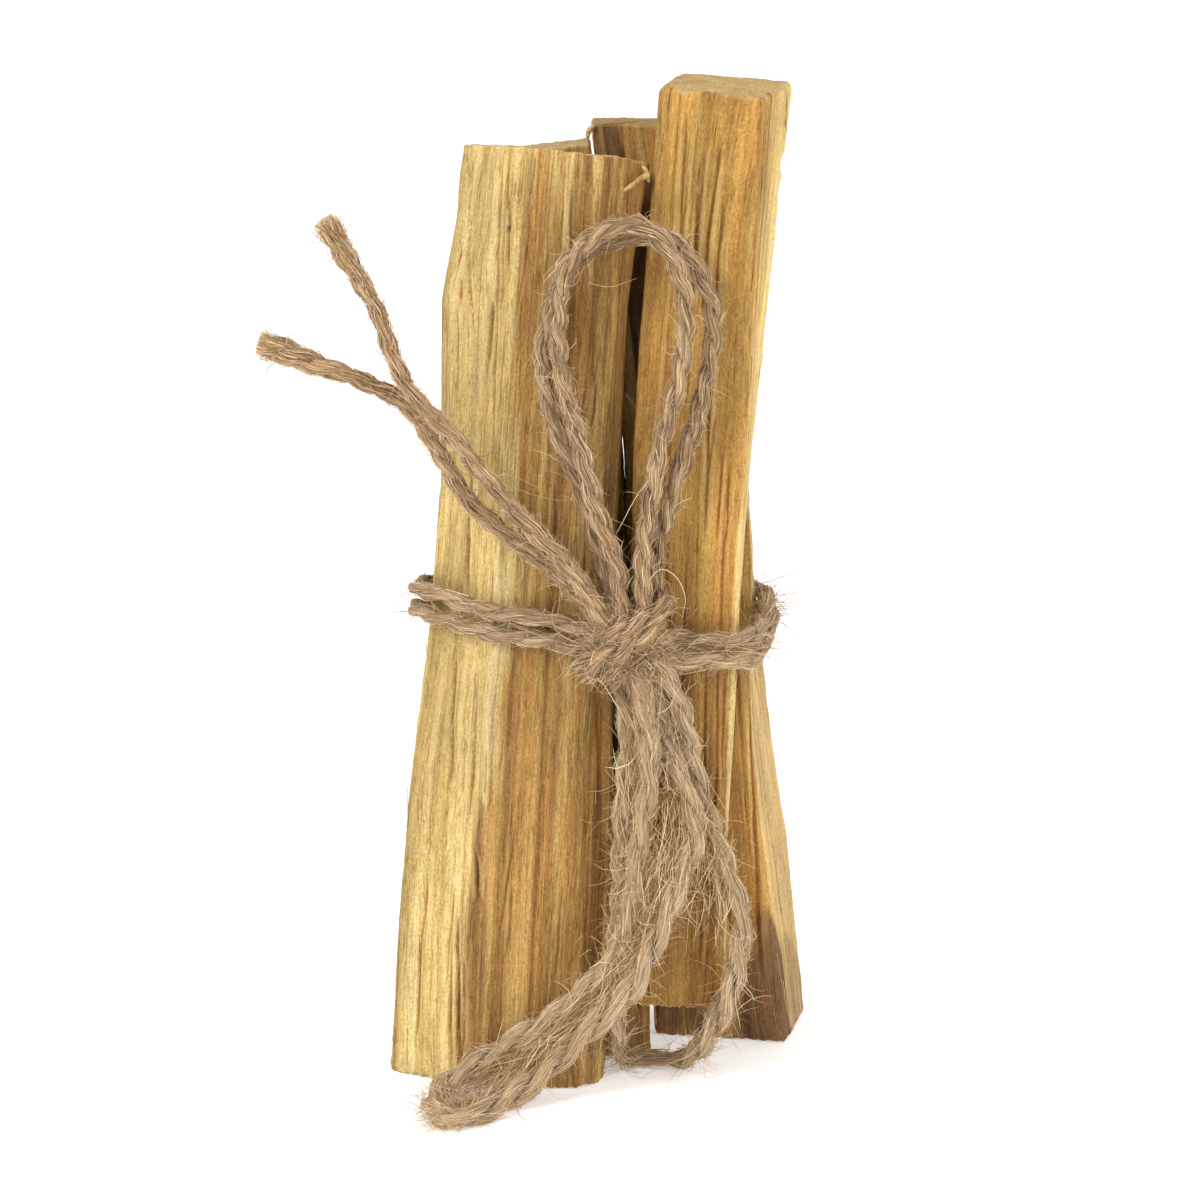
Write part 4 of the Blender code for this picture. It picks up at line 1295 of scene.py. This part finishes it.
def matted(one, two, span_one, span_two, count, random, swell, stray, steps=5):
    """Fibres that fill the gap between two strands, or two stretches of one strand.

    A span is where its stretch starts and ends, as shares of the strand's length.
    """
    part = random.random(count)
    places = []
    for strand, (start, end) in ((one, span_one), (two, span_two)):
        spots = ((start + (end - start) * part) * (len(strand.run) - 1)).astype(int)
        places.append((strand.points[spots], strand.tangents[spots]))
    share = random.random(count)[:, None]
    (first, heading_one), (second, heading_two) = places
    starts = first * (1 - share) + second * share + swell * random.normal(size=(count, 3))
    turned = np.sign((heading_one * heading_two).sum(1, keepdims=True))
    heading = heading_one * (1 - share) + heading_two * turned * share
    heading = heading * random.choice((-1.0, 1.0), count)[:, None]
    heading = heading + stray * random.normal(size=(count, 3))
    lengths, curl = random.uniform(1.8, 6.5, count), random.exponential(0.14, count)
    return wander(starts, heading, lengths, curl, random, steps)


def brush(twine, count, random, length, spread, steps=7):
    """The frayed end of a cut strand, opening a little beyond the strand's last point."""
    angle = random.uniform(0, TAU, count)
    off = np.sqrt(random.random(count))
    away = twine.out(-1, angle)
    back = random.uniform(0.0, 3.0, count)
    starts = twine.points[-1] - twine.tangents[-1] * back[:, None] + away * off[:, None]
    heading = twine.tangents[-1] + away * (spread * off)[:, None]
    heading = heading + 0.09 * random.normal(size=(count, 3))
    lengths = back + random.uniform(0.35, 1.0, count) * length
    return wander(starts, heading, lengths, random.exponential(0.10, count), random, steps)


def stubble(twine, per_mm, random, steps=4):
    """Short fuzz that stands off a cut strand, densest near its frayed end."""
    weight = 0.6 + 0.9 * step_up(0.72, 0.95, twine.run / twine.length)
    count = int(per_mm * twine.length)
    spots = random.choice(len(twine.run), size=count, p=weight / weight.sum())
    away = twine.out(spots, random.uniform(0, TAU, count))
    starts = twine.points[spots] + away * (0.72 * twine.size[spots])[:, None]
    along = random.choice((-1.0, 1.0), count, p=(0.35, 0.65))[:, None] * twine.tangents[spots]
    heading = away + random.uniform(0.5, 2.5, count)[:, None] * along
    lengths, curl = random.uniform(0.4, 1.3, count), random.exponential(0.6, count)
    return wander(starts, heading, lengths, curl, random, steps)


# Half widths of the fibres that stand off, that lie on the plies, and that mat the free strands.
FINE = 0.021
LAID = 0.027
MATTED = 0.028
# The last of these lie deep between the strands, and get this much painted shade in their tint.
MATTED_PAINTED_SHADE = 0.10

# Long fibres that have worked right out of the twine, each from its root to its tip.
STRAY_FIBRES = {
    "bow_loop_inner": (
        ((2.6, -17.0, 77.0), (3.9, -17.3, 75.0), (3.9, -17.3, 73.2), (3.0, -17.2, 71.0)),
        ((-1.2, -16.8, 88.6), (1.0, -17.4, 88.3), (3.8, -17.4, 89.2)),
        ((8.0, -18.6, 86.6), (9.8, -19.2, 84.4), (12.4, -19.2, 83.2)),
    ),
    "bow_loop_outer": (
        ((-5.6, -15.2, 79.2), (-4.0, -16.4, 77.8), (-2.2, -16.6, 77.0), (-0.4, -16.6, 76.6)),
        ((10.2, -16.8, 78.0), (12.0, -17.2, 77.3), (13.8, -17.2, 76.4)),
        ((-5.2, -15.0, 84.0), (-6.4, -15.6, 82.6), (-6.9, -15.8, 80.8), (-6.6, -15.8, 79.0)),
    ),
    "folded_tail": (
        (
            (1.8, -18.8, 33.6), (0.0, -19.2, 31.5), (-1.6, -19.2, 29.4), (-2.8, -19.0, 27.0),
            (-3.2, -18.8, 24.0),
        ),
        ((8.0, -18.4, 36.0), (9.4, -18.6, 38.0), (10.8, -18.6, 39.4), (11.6, -18.6, 41.0)),
    ),
    "twine_knot": (
        (
            (4.8, -18.2, 57.0), (6.2, -19.6, 58.9), (7.8, -19.8, 58.2), (8.8, -19.6, 56.0),
            (8.5, -19.2, 53.4),
        ),
        (
            (4.4, -18.2, 55.6), (5.4, -19.4, 58.0), (7.0, -19.8, 57.6), (7.4, -19.6, 55.8),
            (6.2, -19.0, 54.8),
        ),
        (
            (0.6, -18.6, 51.0), (-1.5, -19.0, 51.6), (-3.6, -19.0, 52.4), (-4.4, -18.8, 54.0),
            (-3.4, -18.6, 55.4),
        ),
        (
            (-0.5, -18.2, 50.2), (-2.6, -18.8, 50.9), (-4.6, -18.8, 52.2), (-4.9, -18.6, 54.4),
            (-3.6, -18.4, 56.2),
        ),
        ((5.6, -18.6, 54.8), (7.0, -19.6, 56.2), (8.0, -19.8, 55.2), (7.4, -19.4, 53.6)),
    ),
}  # fmt: skip


def stray_hairs(routes):
    return [(smooth_route(route, 0.7)[0][None], 1.5 * FINE) for route in routes]


def hair_set(groups, random, shade):
    """Joined tubes of several groups of paths, each with its own width, and a tint for each hair."""
    tubes, tints = [], []
    for paths, thick in groups:
        count, steps = paths.shape[:2]
        taper = 1.0 - 0.70 * np.abs(np.linspace(-0.35, 1, steps)) ** 2.2
        radii = thick * random.lognormal(0.0, 0.34, count)[:, None] * taper[None]
        tubes.append(hair_tubes(paths, radii))
        # Painted shade: the matted fibres get a darker tint where they lie deep between the strands.
        mean_tint = shade - MATTED_PAINTED_SHADE if thick == MATTED else shade
        tint = np.clip(random.normal(mean_tint, 0.32, count), 0.0, 1.0)
        tints.append(np.repeat(tint, steps * 3))
    return (*joined(tubes), np.concatenate(tints))


JUTE = twine_material()
FUZZ = fuzz_material()


def add_strand(name, strand, node):
    points, faces, attributes = strand.mesh()
    made = make_mesh(name, points, faces, JUTE, "jute_twine", attributes)
    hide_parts(node)
    return made


def add_fuzz(name, groups, random, shade):
    points, faces, tints = hair_set(groups, random, shade)
    return make_mesh(name, points, [faces], FUZZ, "jute_twine", {"tint": tints})


def ring_route(middle, tilt, long_half, deep_half):
    """A turn round the knot: an upright oval ring, tilted in the front view."""
    angle = np.linspace(np.radians(-200), np.radians(160), 26)
    tilt = np.radians(tilt)
    x, y = long_half * np.cos(angle), deep_half * np.sin(angle)
    return np.array(middle) + np.column_stack((x * np.cos(tilt), y, x * np.sin(tilt)))


# The free strands: the name of each, its route, its CAD node, its seed and its far end.
CORDS = (
    ("twine_bow_outer", BOW_OUTER_ROUTE, "bow_loop_outer", 1, "object"),
    ("twine_bow_inner", BOW_INNER_ROUTE, "bow_loop_inner", 2, "object"),
    ("twine_cut_end_lower", CUT_END_LOWER_ROUTE, "cut_end_lower", 3, "bare"),
    ("twine_cut_end_upper", CUT_END_UPPER_ROUTE, "cut_end_upper", 4, "bare"),
    ("twine_hanging_loop", HANGING_LOOP_ROUTE, "hanging_loop", 5, "object"),
    ("twine_folded_tail", TAIL_ROUTE, "folded_tail", 6, "object"),
)


def bump_in(part, middle, width, least, most):
    """A value along a strand that goes from least to most about one place."""
    return least + (most - least) * np.exp(-(((part - middle) / width) ** 2))


# How each free strand is laid. size and opening change along its length.
STRAND_LOOKS = {
    "bow_loop_outer": dict(tight=0.90),
    "bow_loop_inner": dict(tight=0.90),
    "cut_end_lower": dict(
        tight=0.62,
        size=lambda part: 1.06 + bump_in(part, 0.94, 0.07, 0.0, 0.52) + 0.12 * step_up(0.3, 0.0, part),
    ),
    "cut_end_upper": dict(
        tight=0.62,
        size=lambda part: 1.03 + bump_in(part, 0.96, 0.06, 0.0, 0.36) + 0.12 * step_up(0.3, 0.0, part),
    ),
    "hanging_loop": dict(
        tight=0.90,
        slack=1.4,
        pale=0.42,
        size=lambda part: 1.0 - bump_in(part, 0.45, 0.05, 0.0, 0.36) + bump_in(part, 0.60, 0.06, 0.0, 0.18),
        opening=lambda part: bump_in(part, 0.60, 0.08, 0.05, 0.40),
    ),
    "folded_tail": dict(
        tight=0.80,
        slack=1.7,
        pale=0.44,
        size=lambda part: 1.0 + 0.22 * step_up(0.15, 0.35, part) * step_up(0.92, 0.80, part),
        opening=lambda part: 0.05 + 0.28 * step_up(0.25, 0.35, part) * step_up(0.92, 0.80, part),
    ),
}

# Mats of fibre between two stretches: the strand they belong to, the other strand, the stretch on
# each, how many fibres there are, how far they spread and how much they stray.
CORD_MATS = (
    ("folded_tail", "folded_tail", (0.16, 0.49), (0.84, 0.51), 1300, 0.46, 0.17),
    ("folded_tail", "folded_tail", (0.42, 0.495), (0.60, 0.505), 640, 0.40, 0.26),
    ("folded_tail", "folded_tail", (0.12, 0.32), (0.90, 0.72), 400, 0.50, 0.24),
    ("folded_tail", "hanging_loop", (0.02, 0.20), (0.06, 0.30), 520, 0.50, 0.20),
    ("hanging_loop", "folded_tail", (0.98, 0.80), (0.02, 0.14), 200, 0.50, 0.25),
    ("hanging_loop", "folded_tail", (0.80, 0.70), (0.90, 0.78), 240, 0.50, 0.25),
    ("hanging_loop", "hanging_loop", (0.38, 0.56), (0.38, 0.56), 260, 0.42, 0.25),
    ("hanging_loop", "hanging_loop", (0.54, 0.68), (0.54, 0.68), 200, 0.50, 0.25),
)
# The same between the band's two strands: the stretch, the count, the spread and the stray.
BAND_MATS = (
    ((0.0, 1.0), 460, 0.40, 0.30),
    ((0.84, 0.985), 260, 0.34, 0.14),
    ((0.60, 0.74), 200, 0.28, 0.30),
)

# The mean tint of the loose fibres, and of those on the free strands that are worn pale.
SHADE = 0.57
PALE_SHADE = 0.76


def strand_hairs(strand, cut, random):
    """A free strand's fibres: laid on it, standing off it and long ones, and a cut end's brush.

    The strands that are worn pale are frayed too: fibres lift further off them, and fewer stand out.
    """
    frayed = strand.pale > 0.0
    groups = [
        (laid_hairs(strand, 11.0, random, lift=0.55 if frayed else 0.35), LAID),
        (loose_hairs(strand, 6.5 if frayed else 10.5, random, reach=0.7 if frayed else 0.9), FINE),
        (long_hairs(strand, 18, random), FINE),
    ]
    if cut:
        groups += [
            (brush(strand, 420, random, 0.75, 0.16), LAID),
            (stubble(strand, 21.0, random), FINE),
            (loose_hairs(strand, 5.0, random, near=lambda part: step_up(0.42, 0.10, part)), FINE),
        ]
    return groups


def build_cords(random):
    strands, fuzz = {}, {}
    for name, route, node, seed, far_end in CORDS:
        strands[node] = Twine(through_knot(route, node), seed, **STRAND_LOOKS[node])
        fuzz[node] = strand_hairs(strands[node], far_end == "bare", random)
    for node, other, span, other_span, count, swell, stray in CORD_MATS:
        pair = strands[node], strands[other]
        fuzz[node].append((matted(*pair, span, other_span, count, random, swell, stray), MATTED))
    for name, route, node, seed, far_end in CORDS:
        strand = strands[node]
        fuzz[node] += stray_hairs(STRAY_FIBRES.get(node, ()))
        shade = PALE_SHADE if strand.pale else SHADE
        hairs = add_fuzz(name.replace("twine", "fuzz"), fuzz[node], random, shade)
        add_strand(name, strand, node)
        (np.array(route[0]) + BUNDLE_SHIFT) * MM


def build_band(random):
    groups, band = [], []
    for name, route, node, seed in (
        ("twine_band_upper", BAND_UPPER_ROUTE, "band_upper_strand", 7),
        ("twine_band_lower", BAND_LOWER_ROUTE, "band_lower_strand", 8),
    ):
        strand = Twine(through_knot(route, node), seed, size=0.96, slack=1.3, tight=0.8, pale=0.26)
        add_strand(name, strand, node)
        band.append(strand)
        groups += [(laid_hairs(strand, 8.5, random), LAID), (loose_hairs(strand, 4.6, random), FINE)]
        groups.append((long_hairs(strand, 8, random), FINE))
    for span, count, swell, stray in BAND_MATS:
        groups.append((matted(*band, span, span, count, random, swell, stray), LAID))
    add_fuzz("fuzz_band", groups, random, SHADE)


# The knot's turns: the middle of each, its tilt in degrees, and its half length and half depth.
KNOT_TURNS = (
    ((3.4, -16.3, 52.4), 30.0, 3.9, 2.4),
    ((2.0, -16.5, 50.1), 30.0, 4.3, 2.6),
    ((1.5, -16.0, 47.9), 28.0, 2.9, 2.0),
)
KNOT_SIZE = 1.22
KNOT_HAIR = 1.1 * FINE
# The lump that the knot's curled fibres stand on: its middle and its half sizes.
KNOT_MIDDLE = (2.6, -16.6, 50.0)
KNOT_HALF = (4.4, 2.4, 3.7)


def knot_fuzz(random, count, steps=6):
    """Curled fibres that stand off the front and sides of the knot."""
    angle = random.uniform(0, TAU, count)
    off = random.uniform(0.55, 1.0, count)
    x = KNOT_MIDDLE[0] + KNOT_HALF[0] * off * np.cos(angle)
    y = KNOT_MIDDLE[1] - KNOT_HALF[1] * np.sqrt(1.0 - 0.95 * off**2)
    z = KNOT_MIDDLE[2] + KNOT_HALF[2] * off * np.sin(angle)
    starts = np.column_stack((x, y, z))
    heading = np.column_stack((np.cos(angle), -0.5 * np.ones(count), np.sin(angle)))
    heading = heading + 1.1 * random.normal(size=(count, 3))
    lengths, curl = random.uniform(1.2, 4.5, count), random.exponential(0.8, count)
    return wander(starts, heading, lengths, curl, random, steps)


def build_knot(random):
    turns, groups = [], []
    for seed, turn in enumerate(KNOT_TURNS, start=11):
        strand = Twine(ring_route(*turn), seed, size=KNOT_SIZE)
        turns.append(strand.mesh())
        groups.append((laid_hairs(strand, 14.0, random, lift=0.8), LAID))
        groups.append((loose_hairs(strand, 19.0, random, reach=0.9), KNOT_HAIR))
        groups.append((long_hairs(strand, 5, random), FINE))
    groups.append((knot_fuzz(random, 760), KNOT_HAIR))
    groups += stray_hairs(STRAY_FIBRES["twine_knot"])
    points, quads = joined([(own, quads) for own, (quads, _), _ in turns])
    _, caps = joined([(own, caps) for own, (_, caps), _ in turns])
    attributes = {
        key: np.concatenate([own[key] for _, _, own in turns]) for key in ("strand", "gap")
    }
    knot = make_mesh("twine_knot_turns", points, [quads, caps], JUTE, "jute_twine", attributes)
    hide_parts("twine_knot")
    add_fuzz("fuzz_knot", groups, random, SHADE)


def build_twine():
    random = np.random.default_rng(20)
    build_cords(random)
    build_band(random)
    build_knot(random)


# ---------------------------------------------------------------- floor and light


LIGHTS_AIM = Vector((0.0, 0.0, 0.05))


def area_light(name, place, size, power):
    """A white square light that looks at the bundle's waist."""
    data = bpy.data.lights.new(name, "AREA")
    data.size = size
    data.energy = power
    light = bpy.data.objects.new(name, data)
    light.location = place
    light.rotation_euler = (LIGHTS_AIM - Vector(place)).to_track_quat("-Z", "Y").to_euler()
    bpy.context.scene.collection.objects.link(light)


def build_stage():
    """A bright white floor and world, with a key light from the left and a fill from the right."""
    bpy.ops.mesh.primitive_plane_add(size=8.0, location=(0.0, 0.0, 0.0))
    floor = bpy.context.object
    floor.name = "floor"
    white = Shader("floor").finish(
        Base_Color=(0.90, 0.90, 0.90, 1.0),
        Emission_Color=(1.0, 1.0, 1.0, 1.0),
        Emission_Strength=0.34,
        Roughness=0.8,
        Specular_IOR_Level=0.1,
    )
    floor.data.materials.append(white)
    world = bpy.data.worlds.new("studio")
    world.use_nodes = True
    background = world.node_tree.nodes["Background"].inputs
    background["Color"].default_value = (1.0, 1.0, 1.0, 1.0)
    background["Strength"].default_value = 0.80
    bpy.context.scene.world = world
    area_light("key", (-0.62, -0.70, 0.70), 0.40, 7.0)
    area_light("fill", (0.65, -0.55, 0.55), 0.6, 3.6)
    bpy.context.scene.view_settings.view_transform = "Standard"


build_sticks()
build_twine()
build_stage()
